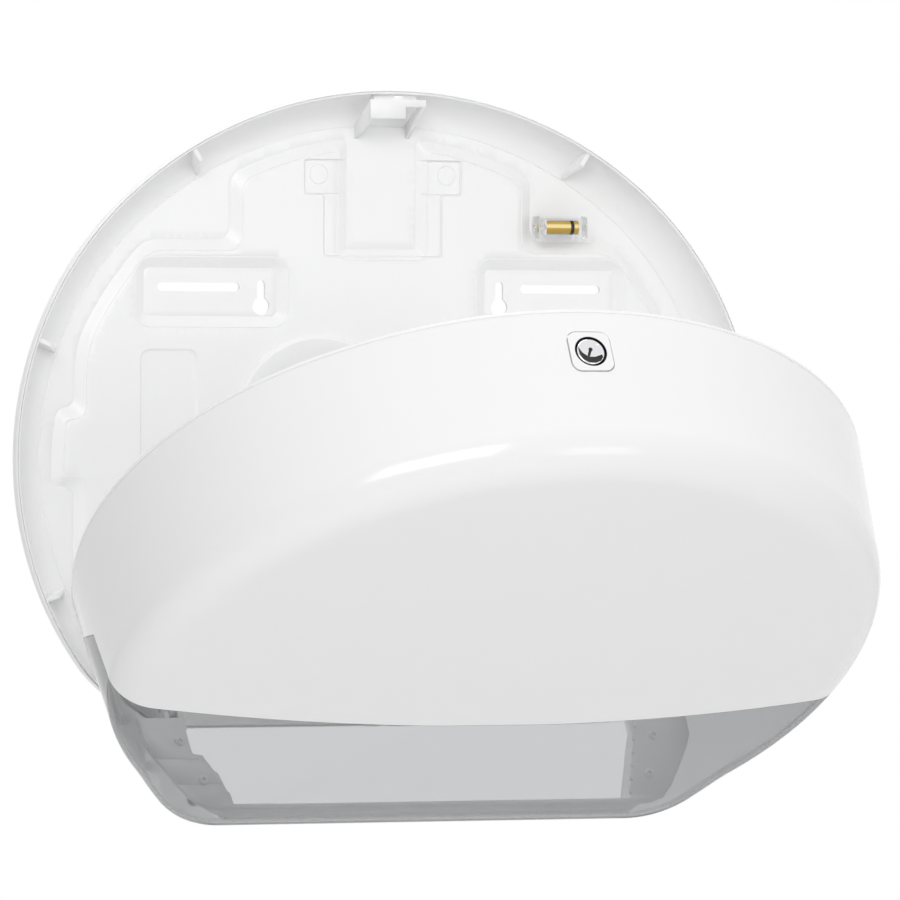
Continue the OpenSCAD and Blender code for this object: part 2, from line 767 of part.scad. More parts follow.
// A cap of radius r and height h, pressed on an axle that reaches in_l into it
module push_cap(r, h, bore_r, in_l) {
    difference() {
        rotate_extrude() polygon([[0, 0], [r, 0], [r, h / 2], [r - h / 2, h], [0, h]]);
        translate([0, 0, -cut]) cylinder(r = bore_r, h = in_l + cut);
    }
}
module hub_cap() {
    color("whitesmoke") hung() out_of_wall(-spindle_x, spindle_z, hub_back_d + hub_l + cap_gap)
        push_cap(hub_r - 2, hub_cap_in + 2, axle_r, hub_cap_in - cap_gap);
}

// ------------------------------------------------------------- stub spindle
stub_end_d = body_d - stub_gap;
stub_base_t = 3.5;
stub_boss_l = 7;
stub_boss_r = stub_hub_r - 2;
stub_back_d = platform_d + stub_base_t + stub_boss_l + side_gap;
stub_cap_in = 3;
stub_hub_l = stub_end_d - stub_cap_in - stub_back_d;
stub_flange_t = 2.5;
stub_core_floor = 8;
module stub_base() {
    color("whitesmoke") hung() difference() {
        out_of_wall(stub_x, stub_z, platform_d) rotate_extrude() polygon([
            [stub_axle_r, 0], [stub_base_r, 0], [stub_base_r, stub_base_t - 1], [stub_base_r - 1, stub_base_t],
            [stub_boss_r, stub_base_t], [stub_boss_r, stub_base_t + stub_boss_l],
            [stub_axle_r, stub_base_t + stub_boss_l]
        ]);
        for (p = stub_screw_places())
            out_of_wall(p[0], p[1], platform_d - cut) cylinder(r = base_screw_r + screw_play, h = stub_base_t + 2 * cut);
    }
}
module stub_screws() {
    color("silver") hung() for (p = stub_screw_places()) wall_side_screw(p, platform_d + stub_base_t);
}
module stub_axle() {
    color("silver") hung() out_of_wall(stub_x, stub_z, platform_d) cylinder(r = stub_axle_r, h = stub_end_d - platform_d);
}
module stub_hub() {
    color("gainsboro") hung() out_of_wall(stub_x, stub_z, stub_back_d) difference() {
        union() {
            cylinder(r = stub_flange_r, h = stub_flange_t);
            cylinder(r = stub_hub_r, h = stub_hub_l);
        }
        translate([0, 0, -cut]) cylinder(r = stub_axle_r + running_gap, h = stub_hub_l + 2 * cut);
        translate([0, 0, stub_core_floor]) difference() {
            cylinder(r = stub_hub_r - hub_wall, h = stub_hub_l);
            translate([0, 0, -cut]) cylinder(r = stub_axle_r + hub_wall, h = stub_hub_l + 2 * cut);
        }
    }
}
module stub_cap() {
    color("whitesmoke") hung() out_of_wall(stub_x, stub_z, stub_back_d + stub_hub_l + cap_gap)
        push_cap(stub_hub_r - 1, stub_cap_in + 2, stub_axle_r, stub_cap_in - cap_gap);
}

// -------------------------------------------------------------- bubble level
vial_d = platform_d + holder_h / 2;
holder_d = holder_h - 2.6;
peg_r = 1.5;
peg_side = 3;
peg_rear_d = 2.25;
vial_play = 0.1;
mark_band_w = 2;
mark_band_t = 0.08;
module holder_pegs(grow) {
    for (side = [-1, 1])
        out_of_wall(side * (holder_l / 2 - peg_side), 0, peg_rear_d - grow)
            cylinder(r = peg_r + grow, h = platform_d);
}
module level_holder() {
    color([0.92, 0.96, 0.98, 0.5]) hung() translate([level_x, 0, level_z]) {
        holder_pegs(0);
        difference() {
            slab(platform_d, platform_d + holder_d) rounded_rect(holder_l, holder_h, peg_r);
            translate([-vial_l / 2 - vial_play, -vial_d, 0]) rotate([0, 90, 0])
                cylinder(r = vial_r + vial_play, h = vial_l + 2 * vial_play);
            // The front is open, so that the vial shows
            slab(vial_d, platform_d + holder_h)
                rounded_rect(vial_l + 2 * vial_play, 2 * (vial_r + vial_play), root);
        }
    }
}
module along_vial(from) {
    hung() translate([level_x - vial_l / 2 + from, -vial_d, level_z]) rotate([0, 90, 0]) children();
}
module level_vial() {
    color([0.95, 0.95, 0.9, 0.4]) along_vial(0) difference() {
        cylinder(r = vial_r, h = vial_l);
        translate([0, 0, vial_t]) cylinder(r = vial_r - vial_t, h = vial_l);
    }
}
module level_fluid() {
    color("gold") along_vial(vial_t) difference() {
        cylinder(r = vial_r - vial_t, h = vial_l - vial_t - vial_plug_l);
        translate([-vial_r * 0.35, 0, vial_l * 0.42]) sphere(r = vial_r * 0.32, $fn = 24);
    }
}
module level_marks() {
    color("black") along_vial(vial_l * 0.75) difference() {
        cylinder(r = vial_r + mark_band_t, h = mark_band_w);
        translate([0, 0, -cut]) cylinder(r = vial_r, h = mark_band_w + 2 * cut);
    }
}
module level_plug() {
    color("goldenrod") along_vial(vial_l - vial_plug_l) cylinder(r = vial_r - vial_t, h = vial_plug_l);
}

// -------------------------------------------------------------------- cover
cover_rim_d = rim_d + rim_gap;
relief_d = rim_d + relief_out;
fillet_d = body_d - front_bulge - front_r;
fillet_end_a = 80;
fillet_inset = cover_draft + front_r;
function cover_slope(d) = cover_draft * (d - cover_rim_d) / (fillet_d - cover_rim_d);

foot_front_d = body_d - foot_back;
foot_fillet_d = foot_front_d - foot_r;
function foot_slope(d) = foot_draft * (d - cover_rim_d) / (foot_fillet_d - cover_rim_d);

// Rings of the cover's skin, drawn in by the wall t; its mouth is carried back by extra
function cover_rings(t, extra) = concat(
    let (d = cover_rim_d - extra) [[t + cover_slope(d), d, 1, t + foot_slope(d), d]],
    [for (i = [0:5]) let (a = fillet_end_a * i / 5) [
        fillet_inset - (front_r - t) * cos(a), fillet_d + (front_r - t) * sin(a), 1,
        foot_draft + foot_r - (foot_r - t) * cos(a), foot_fillet_d + (foot_r - t) * sin(a)
    ]],
    [for (s = [0.9, 0.7, 0.45, 0.15]) [
        fillet_inset - (front_r - t) * cos(fillet_end_a), dome_depth(t, s, fillet_d, front_r), s,
        foot_draft + foot_r - (foot_r - t) * cos(fillet_end_a), dome_depth(t, s, foot_fillet_d, foot_r)
    ]]
);
function dome_depth(t, s, from_d, r) =
    let (base = from_d + (r - t) * sin(fillet_end_a))
    body_d - t - (body_d - t - base) * s * s;

module cover_skin() {
    difference() {
        loft(cover_rings(0, 0));
        loft(cover_rings(cover_t, 2));
    }
}
// Space behind the lower rear edge, so that it clears the plate as the cover tips
module rear_relief() {
    translate([-body_w / 2, -relief_d, -cut]) cube([body_w, relief_d, relief_h + cut]);
}
// The window's region from the side, grown by g
module window_side(g) {
    lean = (tip_z - foot_z) / (tip_d - cover_rim_d);
    front_z = edge_z + beyond * (edge_z - tip_z) / (body_d - tip_d);
    polygon([
        [tip_d - g, tip_z + g], [body_d + beyond, front_z + g], [body_d + beyond, -beyond],
        [-beyond, -beyond], [-beyond, foot_z - lean * (cover_rim_d + beyond + g)]
    ]);
}
module window_region(g) {
    side_slab(-body_w, body_w) window_side(g);
}

// Outlet seen from above, grown by g, out through the rear; its front edge is carried back
module outlet_shape(g, back = 0) {
    front = outlet_front_d + g - back;
    polygon([
        [-outlet_rear_x - g, 0], [-outlet_rear_x - g, frame_rear_d], [-outlet_front_x - g, front],
        [outlet_front_x + g, front], [outlet_rear_x + g, frame_rear_d], [outlet_rear_x + g, 0]
    ]);
}
rear_screw = [hinge_x + 0.5, frame_rear_d + 16];
front_screw = [outlet_front_x + 14, outlet_front_d - 15];
function frame_screw_places() = [for (side = [-1, 1], p = [rear_screw, front_screw]) [side * p[0], p[1]]];
pilot_foot_z = 11;
floor_cut_z = 10;
floor_lip = 9;
skirt_gap = 0.4;
lock_post_r = 3.2;
lock_cut = 20;

module cover_shell() {
    color("white") opened() {
        difference() {
            cover_skin();
            window_region(seam_gap);
            rear_relief();
            on_lock() translate([0, 0, -lock_cut]) linear_extrude(2 * lock_cut)
                rounded_rect(nose_w + 2 * nose_gap, nose_w + 2 * nose_gap, nose_r + nose_gap);
        }
        on_lock() for (side = [-1, 1])
            translate([side * lock_screw_spacing / 2, 0, -nose_l]) difference() {
                cylinder(r = lock_post_r, h = nose_l - cover_t + root);
                translate([0, 0, -cut]) cylinder(r = lock_screw_r, h = nose_l - cover_t);
            }
    }
}

module cover_window() {
    color([0.55, 0.57, 0.6, 0.6]) opened() difference() {
        union() {
            difference() {
                union() {
                    intersection() {
                        loft(cover_rings(0, 0));
                        window_region(0);
                    }
                    // Lip that laps behind the shell
                    intersection() {
                        loft(cover_rings(cover_t + seam_gap, -2));
                        window_region(lip_reach);
                    }
                }
                // The wall is thicker along the lip and thins away from it
                intersection() {
                    loft(cover_rings(cover_t, 2));
                    window_region(-lip_reach);
                }
                loft(cover_rings(cover_t + seam_gap + lip_t, 3));
            }
            // Bosses for the frame's screws, rooted half way into the wall
            intersection() {
                loft(cover_rings(cover_t / 2, 0));
                for (p = frame_screw_places())
                    translate([p[0], -p[1], 0]) cylinder(r = frame_boss_r, h = frame_low_z);
            }
        }
        rear_relief();
        plan_slab(-cut, floor_cut_z) outlet_shape(skirt_t + skirt_gap, floor_lip);
        for (p = frame_screw_places())
            translate([p[0], -p[1], pilot_foot_z]) cylinder(r = frame_screw_r, h = frame_z);
    }
}

// -------------------------------------------------------------- outlet frame
// It carries the hinge ears and the tear teeth and lies in the foot of the window
module frame_plate() {
    intersection() {
        loft(cover_rings(cover_t + frame_gap, 0));
        union() {
            plan_slab(frame_low_z, frame_z) difference() {
                translate([-body_w / 2, frame_rear_d]) square([body_w, body_d]);
                translate([0, -cut]) outlet_shape(0);
            }
            // Skirt that lines the outlet
            plan_slab(skirt_foot_z, frame_z) difference() {
                outlet_shape(skirt_t);
                outlet_shape(0);
                translate([-body_w / 2, 0]) square([body_w, frame_rear_d]);
            }
        }
    }
}
module tear_teeth() {
    run = outlet_front_d - frame_rear_d;
    lean = (outlet_rear_x - outlet_front_x) / run;
    both_sides() for (d = [frame_rear_d:tooth_pitch:outlet_front_d - tooth_pitch])
        let (x0 = outlet_rear_x - lean * (d - frame_rear_d), x1 = x0 - lean * tooth_pitch, tip_x = (x0 + x1) / 2 - tooth_h)
        polygon([
            [x0 + root, d], [x0 - root, d], [tip_x, d + tooth_pitch * 0.65], [tip_x, d + tooth_pitch * 0.8],
            [x1 - root, d + tooth_pitch * 0.9], [x1 - root, d + tooth_pitch], [x1 + root, d + tooth_pitch]
        ]);
}
ear_foot_z = 12.8;
skirt_foot_z = 14;
ear_reach = 8;
heel_l = 1.8;
module ear_shape() {
    heel_d = hinge_d - ear_r - heel_l;
    translate([hinge_d, hinge_z]) circle(ear_r);
    polygon([
        [hinge_d - ear_r, hinge_z], [heel_d, ear_foot_z + heel_l], [heel_d, ear_foot_z],
        [frame_rear_d + ear_reach, ear_foot_z], [frame_rear_d + ear_reach, frame_z],
        [hinge_d + ear_r * 0.8, hinge_z + ear_r * 0.6], [hinge_d, hinge_z]
    ]);
}
// The stop bridges the ears and meets the arm's underside when the cover is open
stop_l = 5.5;
stop_t = 3;
module stop_shape() {
    translate([hinge_d, hinge_z]) rotate(180 - arm_rise + open_angle)
        translate([eye_r - 1, arm_w / 2 + stop_gap]) square([stop_l, stop_t]);
}
module outlet_frame() {
    ear_in = hinge_x - arm_t / 2 - side_gap - ear_t;
    ear_out = hinge_x + arm_t / 2 + side_gap;
    color("ghostwhite") opened() difference() {
        union() {
            frame_plate();
            plan_slab(frame_low_z, frame_z) tear_teeth();
            both_sides() {
                side_slab(ear_in, ear_in + ear_t) ear_shape();
                side_slab(ear_out, ear_out + ear_t) ear_shape();
                side_slab(ear_in + ear_t - root, ear_out + root) stop_shape();
            }
        }
        both_sides() translate([ear_in - cut, -hinge_d, hinge_z])
            rotate([0, 90, 0]) cylinder(r = pin_r, h = ear_out + ear_t - ear_in + 2 * cut);
        for (p = frame_screw_places())
            translate([p[0], -p[1], frame_low_z - cut])
                cylinder(r = frame_screw_r + screw_play, h = frame_t + 2 * cut);
    }
}
module frame_screws() {
    color("white") opened() for (p = frame_screw_places())
        translate([p[0], -p[1], 0]) {
            translate([0, 0, pilot_foot_z + screw_play])
                cylinder(r = frame_screw_r, h = frame_z - pilot_foot_z - screw_play);
            translate([0, 0, frame_z]) pan_head(2 * frame_screw_r);
        }
}
module hinge_pins() {
    pin_l = arm_t + 2 * (side_gap + ear_t);
    pin_head_t = 1;
    color("silver") opened() both_sides()
        translate([hinge_x - pin_l / 2 - pin_head_t, -hinge_d, hinge_z]) rotate([0, 90, 0]) {
            cylinder(r = pin_r, h = pin_l + pin_head_t);
            cylinder(r = pin_r * 1.4, h = pin_head_t);
        }
}

// --------------------------------------------------------------------- lock
lock_tilt = atan(cover_draft / (fillet_d - cover_rim_d));
cam_r = lock_d - striker_d + striker_t + finger_t / 2 + catch_gap;
lock_screw_r = 1.3;
lock_bore_r = plug_r + running_gap;
nose_proud = 0.3;
barrel_t = 2.2;
cam_z = -plug_l - cam_t;
tail_w = 7;
key_slot_w = 1.8;
key_slot_h = 8.4;
key_depth = 7;
key_hole_r = 2.1;
plug_bevel = 0.8;
cam_screw_r = 1.5;
cam_screw_l = 5.5;
// The lock's frame: its axis stands square to the cover's top, outwards
module on_lock() {
    translate([0, -lock_d, body_h - cover_slope(lock_d)]) rotate([lock_tilt, 0, 0]) children();
}
module lock_body() {
    flange_w = lock_screw_spacing + 8;
    color("white") opened() on_lock() difference() {
        union() {
            translate([0, 0, -nose_l - root]) linear_extrude(nose_l + root + nose_proud)
                rounded_rect(nose_w, nose_w, nose_r);
            translate([0, 0, -nose_l - lock_flange_t]) linear_extrude(lock_flange_t)
                rounded_rect(flange_w, nose_w, nose_r);
            translate([0, 0, root - plug_l]) cylinder(r = plug_r + barrel_t, h = plug_l - nose_l);
        }
        translate([0, 0, -plug_l - cut]) cylinder(r = lock_bore_r, h = plug_l + 2 * cut);
        for (side = [-1, 1])
            translate([side * lock_screw_spacing / 2, 0, -nose_l - lock_flange_t - cut])
                cylinder(r = lock_screw_r + screw_play, h = lock_flange_t + 2 * cut);
    }
}
module lock_screws() {
    color("silver") opened() on_lock() for (side = [-1, 1])
        translate([side * lock_screw_spacing / 2, 0, -nose_l - lock_flange_t]) {
            cylinder(r = lock_screw_r, h = lock_flange_t + nose_l - cover_t - 2 * cut);
            mirror([0, 0, 1]) pan_head(2 * lock_screw_r);
        }
}
module lock_plug() {
    color("gainsboro") opened() on_lock() rotate(-free_angle) difference() {
        union() {
            translate([0, 0, -plug_l]) cylinder(r = plug_r, h = plug_l - plug_bevel / 2);
            translate([0, 0, -plug_bevel / 2]) cylinder(r1 = plug_r, r2 = plug_r - plug_bevel, h = plug_bevel);
            // Square tail that drives the cam
            translate([-tail_w / 2, -tail_w / 2, cam_z]) cube([tail_w, tail_w, cam_t + root]);
        }
        // Keyway
        translate([-key_slot_w / 2, -key_slot_h / 2, -key_depth]) cube([key_slot_w, key_slot_h, key_depth + cut]);
        translate([0, 0, -key_depth]) cylinder(r = key_hole_r, h = key_depth + cut);
        translate([0, 0, cam_z - cut]) cylinder(r = cam_screw_r, h = cam_screw_l + 2 * cut);
    }
}
module lock_cam() {
    color("silver") opened() on_lock() rotate(-free_angle) difference() {
        union() {
            translate([0, 0, cam_z]) {
                cylinder(r = plug_r, h = cam_t);
                translate([-cam_w / 2, 0, 0]) cube([cam_w, cam_r + finger_t / 2, cam_t]);
            }
            translate([-cam_w / 2, cam_r - finger_t / 2, cam_z]) cube([cam_w, finger_t, cam_t + finger_h]);
        }
        translate([-tail_w / 2, -tail_w / 2, cam_z - cut]) cube([tail_w, tail_w, cam_t + 2 * cut]);
    }
}
module cam_screw() {
    color("silver") opened() on_lock() rotate(-free_angle) {
        translate([0, 0, cam_z]) {
            cylinder(r = cam_screw_r, h = cam_screw_l);
            mirror([0, 0, 1]) pan_head(tail_w * 0.75);
        }
    }
}

back_plate();
spindle_base();
spindle_screws();
spindle_axle();
friction_washer();
roll_hub();
hub_cap();
stub_base();
stub_screws();
stub_axle();
stub_hub();
stub_cap();
level_holder();
level_vial();
level_fluid();
level_marks();
level_plug();
cover_shell();
cover_window();
outlet_frame();
frame_screws();
hinge_pins();
lock_body();
lock_screws();
lock_plug();
lock_cam();
cam_screw();
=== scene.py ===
# Looks for the jumbo toilet roll dispenser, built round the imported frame.
# A point is (x to the right, depth out from the wall, height above the outline's lower edge)
# in millimetres, and mm() turns points into the row's metres. What the cover carries is built
# on the shut cover, and open_up() tips it open. Angles are degrees.
import math

import bmesh
import bpy
import numpy as np
from mathutils import Matrix, Vector
from mathutils.geometry import delaunay_2d_cdt


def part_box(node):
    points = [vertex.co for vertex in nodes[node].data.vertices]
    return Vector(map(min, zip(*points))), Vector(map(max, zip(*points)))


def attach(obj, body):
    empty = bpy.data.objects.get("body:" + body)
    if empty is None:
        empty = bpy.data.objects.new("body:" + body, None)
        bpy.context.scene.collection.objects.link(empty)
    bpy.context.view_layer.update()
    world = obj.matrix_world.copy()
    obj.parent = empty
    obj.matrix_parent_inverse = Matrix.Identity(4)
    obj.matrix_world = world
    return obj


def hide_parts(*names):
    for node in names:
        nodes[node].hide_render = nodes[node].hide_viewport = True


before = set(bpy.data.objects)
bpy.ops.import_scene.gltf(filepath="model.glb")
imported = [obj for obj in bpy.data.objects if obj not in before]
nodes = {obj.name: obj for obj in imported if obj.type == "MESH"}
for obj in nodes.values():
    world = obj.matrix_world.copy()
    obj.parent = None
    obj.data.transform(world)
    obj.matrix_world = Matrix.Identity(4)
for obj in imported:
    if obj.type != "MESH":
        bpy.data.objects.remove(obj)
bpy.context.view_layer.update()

# ------------------------------------------------------------------ the object's sizes
SCREW_LINE = 240.0
BODY_H = 360.0
BODY_D = 133.0

# The outline: an arc over the top, one down each side and one round each lower corner
TOP_R = 231.0
SIDE_R = 195.0
CORNER_R = 60.0
SIDE_X = 23.5
TOP_Z = BODY_H - TOP_R
SIDE_Z = TOP_Z + math.sqrt((TOP_R - SIDE_R) ** 2 - SIDE_X ** 2)
CORNER_X = SIDE_X + math.sqrt((SIDE_R - CORNER_R) ** 2 - (SIDE_Z - CORNER_R) ** 2)
TOP_END = math.degrees(math.atan2(SIDE_Z - TOP_Z, SIDE_X))
SIDE_END = math.degrees(math.atan2(CORNER_R - SIDE_Z, CORNER_X - SIDE_X))

# The hinge line, and how far open the cover is at rest
HINGE_D = 47.0
HINGE_Z = 21.3
OPEN = 54.0

# Back plate: a flat floor with a raised platform, a slope up to the mouth, and a lip
PLATE_T = 2.5
RISE = 3.0
RIM_D = 24.0
MOUTH_D = RIM_D - 3
LIP_W = 2.2
SLOPE_W = 18.0
FLOOR_IN = LIP_W + SLOPE_W
PLATE_FOOT = 8.5
SPINDLE_X = -38.2
SPINDLE_Z = 175.0
STUB_X = 148.0
STUB_Z = 160.0

# Cover: walls that draw in by DRAFT, a rounded edge of FRONT_R and a front that bulges
COVER_RIM_D = 24.5
COVER_T = 2.6
DRAFT = 6.0
FRONT_R = 24.0
BULGE = 15.0
FILLET_D = BODY_D - BULGE - FRONT_R
FILLET_IN = DRAFT + FRONT_R
FILLET_END = 80.0
DOME_Z = BODY_H * 0.46

# The cover's foot has less draft and a tighter edge, which fade out up to FOOT_H
FOOT_H = 38.0
FOOT_FADE = 1.34
FOOT_DRAFT = 2.2
FOOT_R = 9.5
FOOT_BULGE = 16.5
FOOT_FILLET_D = BODY_D - FOOT_BULGE - FOOT_R

# The paper outlet in the cover's foot starts in front of its frame's hinge ears, and narrows
# towards the front; the frame's flat has its underside at FRAME_Z
EAR_R = 7.0
OUTLET_REAR_D = HINGE_D + EAR_R + 3
OUTLET_REAR_X = 132.0
OUTLET_FRONT_D = 113.0
OUTLET_FRONT_X = 116.0
FRAME_Z = 24.5


def mm(points):
    """Points of (x, depth, height) in millimetres as metres in the row frame."""
    p = np.asarray(points, float).reshape(-1, 3)
    return np.stack([p[:, 0], -p[:, 1], p[:, 2] - SCREW_LINE], axis=1) / 1000


def opened(points):
    """Points of the shut cover, in the row frame, tipped open about the hinge line."""
    y0 = -HINGE_D / 1000
    z0 = (HINGE_Z - SCREW_LINE) / 1000
    c = math.cos(math.radians(OPEN))
    s = math.sin(math.radians(OPEN))
    p = np.array(points, float)
    y = p[:, 1] - y0
    z = p[:, 2] - z0
    p[:, 1] = y * c - z * s + y0
    p[:, 2] = y * s + z * c + z0
    return p


# ------------------------------------------------------------------ camera
# Fitted to the photograph's outline of the plate and the cover. Lengths here are metres,
# and the focal length and the target's place in the picture are pixels.
PICTURE = 900
FOCAL = 8024.3
TARGET_PX = 416.04
TARGET_PY = 415.9
SENSOR_W = 36
VIEW_TARGET = Vector((0, -0.06, -0.06))
VIEW_DISTANCE = 4.4105
VIEW_AZIMUTH = -20.29
VIEW_ELEVATION = 0.61
VIEW_ROLL = 0.3


def direction(azimuth, elevation):
    """Unit vector away from the object: azimuth 0 is in front of it, and + is to the right."""
    a = math.radians(azimuth)
    e = math.radians(elevation)
    return Vector((math.sin(a) * math.cos(e), -math.cos(a) * math.cos(e), math.sin(e)))


def make_camera():
    """A long lens, turned so that the target falls a little off the picture's middle."""
    back = direction(VIEW_AZIMUTH, VIEW_ELEVATION)
    roll = math.radians(VIEW_ROLL)
    level = (-back).cross(Vector((0, 0, 1))).normalized()
    upright = level.cross(-back)
    right = level * math.cos(roll) + upright * math.sin(roll)
    up = upright * math.cos(roll) - level * math.sin(roll)
    off_x = (PICTURE / 2 - TARGET_PX) / FOCAL
    off_y = (PICTURE / 2 - TARGET_PY) / FOCAL
    forward = (-back + right * off_x - up * off_y).normalized()
    right = (right - forward * right.dot(forward)).normalized()
    up = right.cross(forward)
    data = bpy.data.cameras.new("camera")
    data.sensor_width = SENSOR_W
    data.lens = FOCAL * SENSOR_W / PICTURE
    data.clip_end = 60
    cam = bpy.data.objects.new("camera", data)
    turn = Matrix((right, up, -forward)).transposed().to_4x4()
    cam.matrix_world = Matrix.Translation(VIEW_TARGET + back * VIEW_DISTANCE) @ turn
    bpy.context.scene.collection.objects.link(cam)
    bpy.context.scene.camera = cam


make_camera()


# ------------------------------------------------------------------ mesh helpers
# Points nearer than DOUBLES are merged, and edges below LEAST_EDGE dissolved, both in metres.
DOUBLES = 1e-6
LEAST_EDGE = 1e-7
SMOOTH = 30
BEVEL_ANGLE = 35


def mark_smooth(bm, angle):
    """Smooth faces, with sharp edges where the faces turn by more than angle."""
    limit = math.radians(angle)
    for f in bm.faces:
        f.smooth = True
    for e in bm.edges:
        e.smooth = len(e.link_faces) == 2 and e.calc_face_angle(0) < limit


def tidy_mesh(obj, smooth_angle=SMOOTH):
    """Faces turned outwards, doubles merged, smooth except at sharp edges."""
    bm = bmesh.new()
    bm.from_mesh(obj.data)
    bmesh.ops.remove_doubles(bm, verts=bm.verts, dist=DOUBLES)
    bmesh.ops.dissolve_degenerate(bm, edges=bm.edges, dist=LEAST_EDGE)
    bmesh.ops.recalc_face_normals(bm, faces=bm.faces)
    mark_smooth(bm, smooth_angle)
    bm.to_mesh(obj.data)
    bm.free()
    obj.data.update()


def new_object(name, points, faces, smooth_angle=SMOOTH):
    """An object from points in the row frame."""
    mesh = bpy.data.meshes.new(name)
    mesh.from_pydata([tuple(p) for p in points], [], [tuple(f) for f in faces])
    obj = bpy.data.objects.new(name, mesh)
    bpy.context.scene.collection.objects.link(obj)
    tidy_mesh(obj, smooth_angle)
    return obj


def solid(name, part, smooth_angle=SMOOTH):
    """An object from a part, which is a pair (points, faces) in millimetres."""
    points, faces = part
    return new_object(name, mm(points), faces, smooth_angle)


def freeze(obj):
    """Puts what the modifiers make of the mesh in its place."""
    bpy.context.view_layer.update()
    graph = bpy.context.evaluated_depsgraph_get()
    mesh = bpy.data.meshes.new_from_object(obj.evaluated_get(graph))
    obj.modifiers.clear()
    obj.data = mesh


def boolean(obj, tool, operation):
    mod = obj.modifiers.new("cut", "BOOLEAN")
    mod.operation = operation
    mod.solver = "EXACT"
    mod.object = tool
    freeze(obj)
    bpy.data.objects.remove(tool)


def bevel(obj, width, smooth_angle):
    """Rounds the edges that turn by more than BEVEL_ANGLE; width is millimetres."""
    mod = obj.modifiers.new("bevel", "BEVEL")
    mod.width = width / 1000
    mod.segments = 2
    mod.limit_method = "ANGLE"
    mod.angle_limit = math.radians(BEVEL_ANGLE)
    mod.harden_normals = True
    freeze(obj)
    tidy_mesh(obj, smooth_angle)


def open_up(obj):
    """Tips a piece that was built on the shut cover."""
    mesh = obj.data
    co = np.zeros(len(mesh.vertices) * 3)
    mesh.vertices.foreach_get("co", co)
    mesh.vertices.foreach_set("co", opened(co.reshape(-1, 3)).ravel())
    mesh.update()


# ------------------------------------------------------------------ parts
TURN_STEPS = 72


# Where prism() puts an outline's points (u, v) and its own length w
def from_front(u, v, w):
    return (u, w, v)


def from_side(u, v, w):
    return (w, u, v)


def from_above(u, v, w):
    return (u, v, w)


def prism(shape, low, high, place):
    """A closed prism over a 2-D outline; place(u, v, w) gives (x, depth, height)."""
    n = len(shape)
    points = [place(u, v, low) for u, v in shape] + [place(u, v, high) for u, v in shape]
    faces = [list(range(n)), list(range(2 * n - 1, n - 1, -1))]
    faces += [[i, i + n, (i + 1) % n + n, (i + 1) % n] for i in range(n)]
    return points, faces


def block(x0, x1, d0, d1, z0, z1):
    """A plain block between two depths and two heights."""
    return prism([(x0, d0), (x1, d0), (x1, d1), (x0, d1)], z0, z1, from_above)


def turned(profile):
    """A body turned from (radius, height) points about the third coordinate."""
    steps = TURN_STEPS
    points = []
    faces = []
    rings = []
    turns = [2 * math.pi * i / steps for i in range(steps)]
    for r, h in profile:
        rings.append(len(points))
        if r == 0:
            points.append((0, 0, h))
        else:
            points += [(r * math.cos(a), r * math.sin(a), h) for a in turns]
    for k in range(len(profile) - 1):
        a, b = rings[k], rings[k + 1]
        for i in range(steps):
            j = (i + 1) % steps
            if profile[k][0] == 0:
                faces.append([a, b + j, b + i])
            elif profile[k + 1][0] == 0:
                faces.append([a + i, a + j, b])
            else:
                faces.append([a + i, a + j, b + j, b + i])
    return points, faces


def joined(parts):
    """Several parts as one."""
    points = []
    faces = []
    for p, f in parts:
        base = len(points)
        points += list(p)
        faces += [[i + base for i in face] for face in f]
    return points, faces


def mirrored(part):
    points, faces = part
    return [(-x, d, z) for x, d, z in points], [list(reversed(f)) for f in faces]


def both_sides(part):
    return [part, mirrored(part)]


def arc(cu, cv, r, start, end, n):
    """n + 1 points round a centre, from the angle start to the angle end."""
    turns = [math.radians(start + (end - start) * i / n) for i in range(n + 1)]
    return [(cu + r * math.cos(a), cv + r * math.sin(a)) for a in turns]


def circle(cu, cv, r, n):
    return arc(cu, cv, r, 0, 360, n)[:-1]


def rounded_rect(w, h, r, steps=6, cu=0.0, cv=0.0):
    out = []
    for su, sv, start in ((1, 1, 0), (-1, 1, 90), (-1, -1, 180), (1, -1, 270)):
        out += arc(cu + su * (w / 2 - r), cv + sv * (h / 2 - r), r, start, start + 90, steps)
    return out


def spun(shape, angle, cu=0.0, cv=0.0):
    """A 2-D outline turned about its origin, which then moves to (cu, cv)."""
    c = math.cos(math.radians(angle))
    s = math.sin(math.radians(angle))
    return [(cu + u * c - v * s, cv + u * s + v * c) for u, v in shape]


# ------------------------------------------------------------------ outline
TOP_N = 56
SIDE_N = 44
CORNER_N = 24
FOOT_N = 24


def outline(inset):
    """The outline drawn in by inset, clockwise from the upper left."""
    def stretch(cx, cz, r, start, end, n):
        a = np.radians(start + (end - start) * np.arange(n) / n)
        return np.stack([cx + (r - inset) * np.cos(a), cz + (r - inset) * np.sin(a)], axis=1)
    foot_x = np.linspace(CORNER_X, -CORNER_X, FOOT_N + 1)[:-1]
    return np.concatenate([
        stretch(0, TOP_Z, TOP_R, 180 - TOP_END, TOP_END, TOP_N),
        stretch(SIDE_X, SIDE_Z, SIDE_R, TOP_END, SIDE_END, SIDE_N),
        stretch(CORNER_X, CORNER_R, CORNER_R, SIDE_END, -90, CORNER_N),
        np.stack([foot_x, np.full(FOOT_N, float(inset))], axis=1),
        stretch(-CORNER_X, CORNER_R, CORNER_R, -90, -180 - SIDE_END, CORNER_N),
        stretch(-SIDE_X, SIDE_Z, SIDE_R, -180 - SIDE_END, -180 - TOP_END, SIDE_N),
    ])


def foot_share():
    """Share that each point of the outline takes of a form's foot, by its height."""
    return np.maximum(0, 1 - outline(0)[:, 1:2] / FOOT_H) ** FOOT_FADE


def footed(inset, foot_inset):
    """The outline drawn in by inset, and by foot_inset at its foot."""
    return outline(inset) + foot_share() * (outline(foot_inset) - outline(inset))


def plate_line(inset):
    """The back plate's outline, whose foot stands higher than the cover's."""
    return footed(inset, inset + PLATE_FOOT)


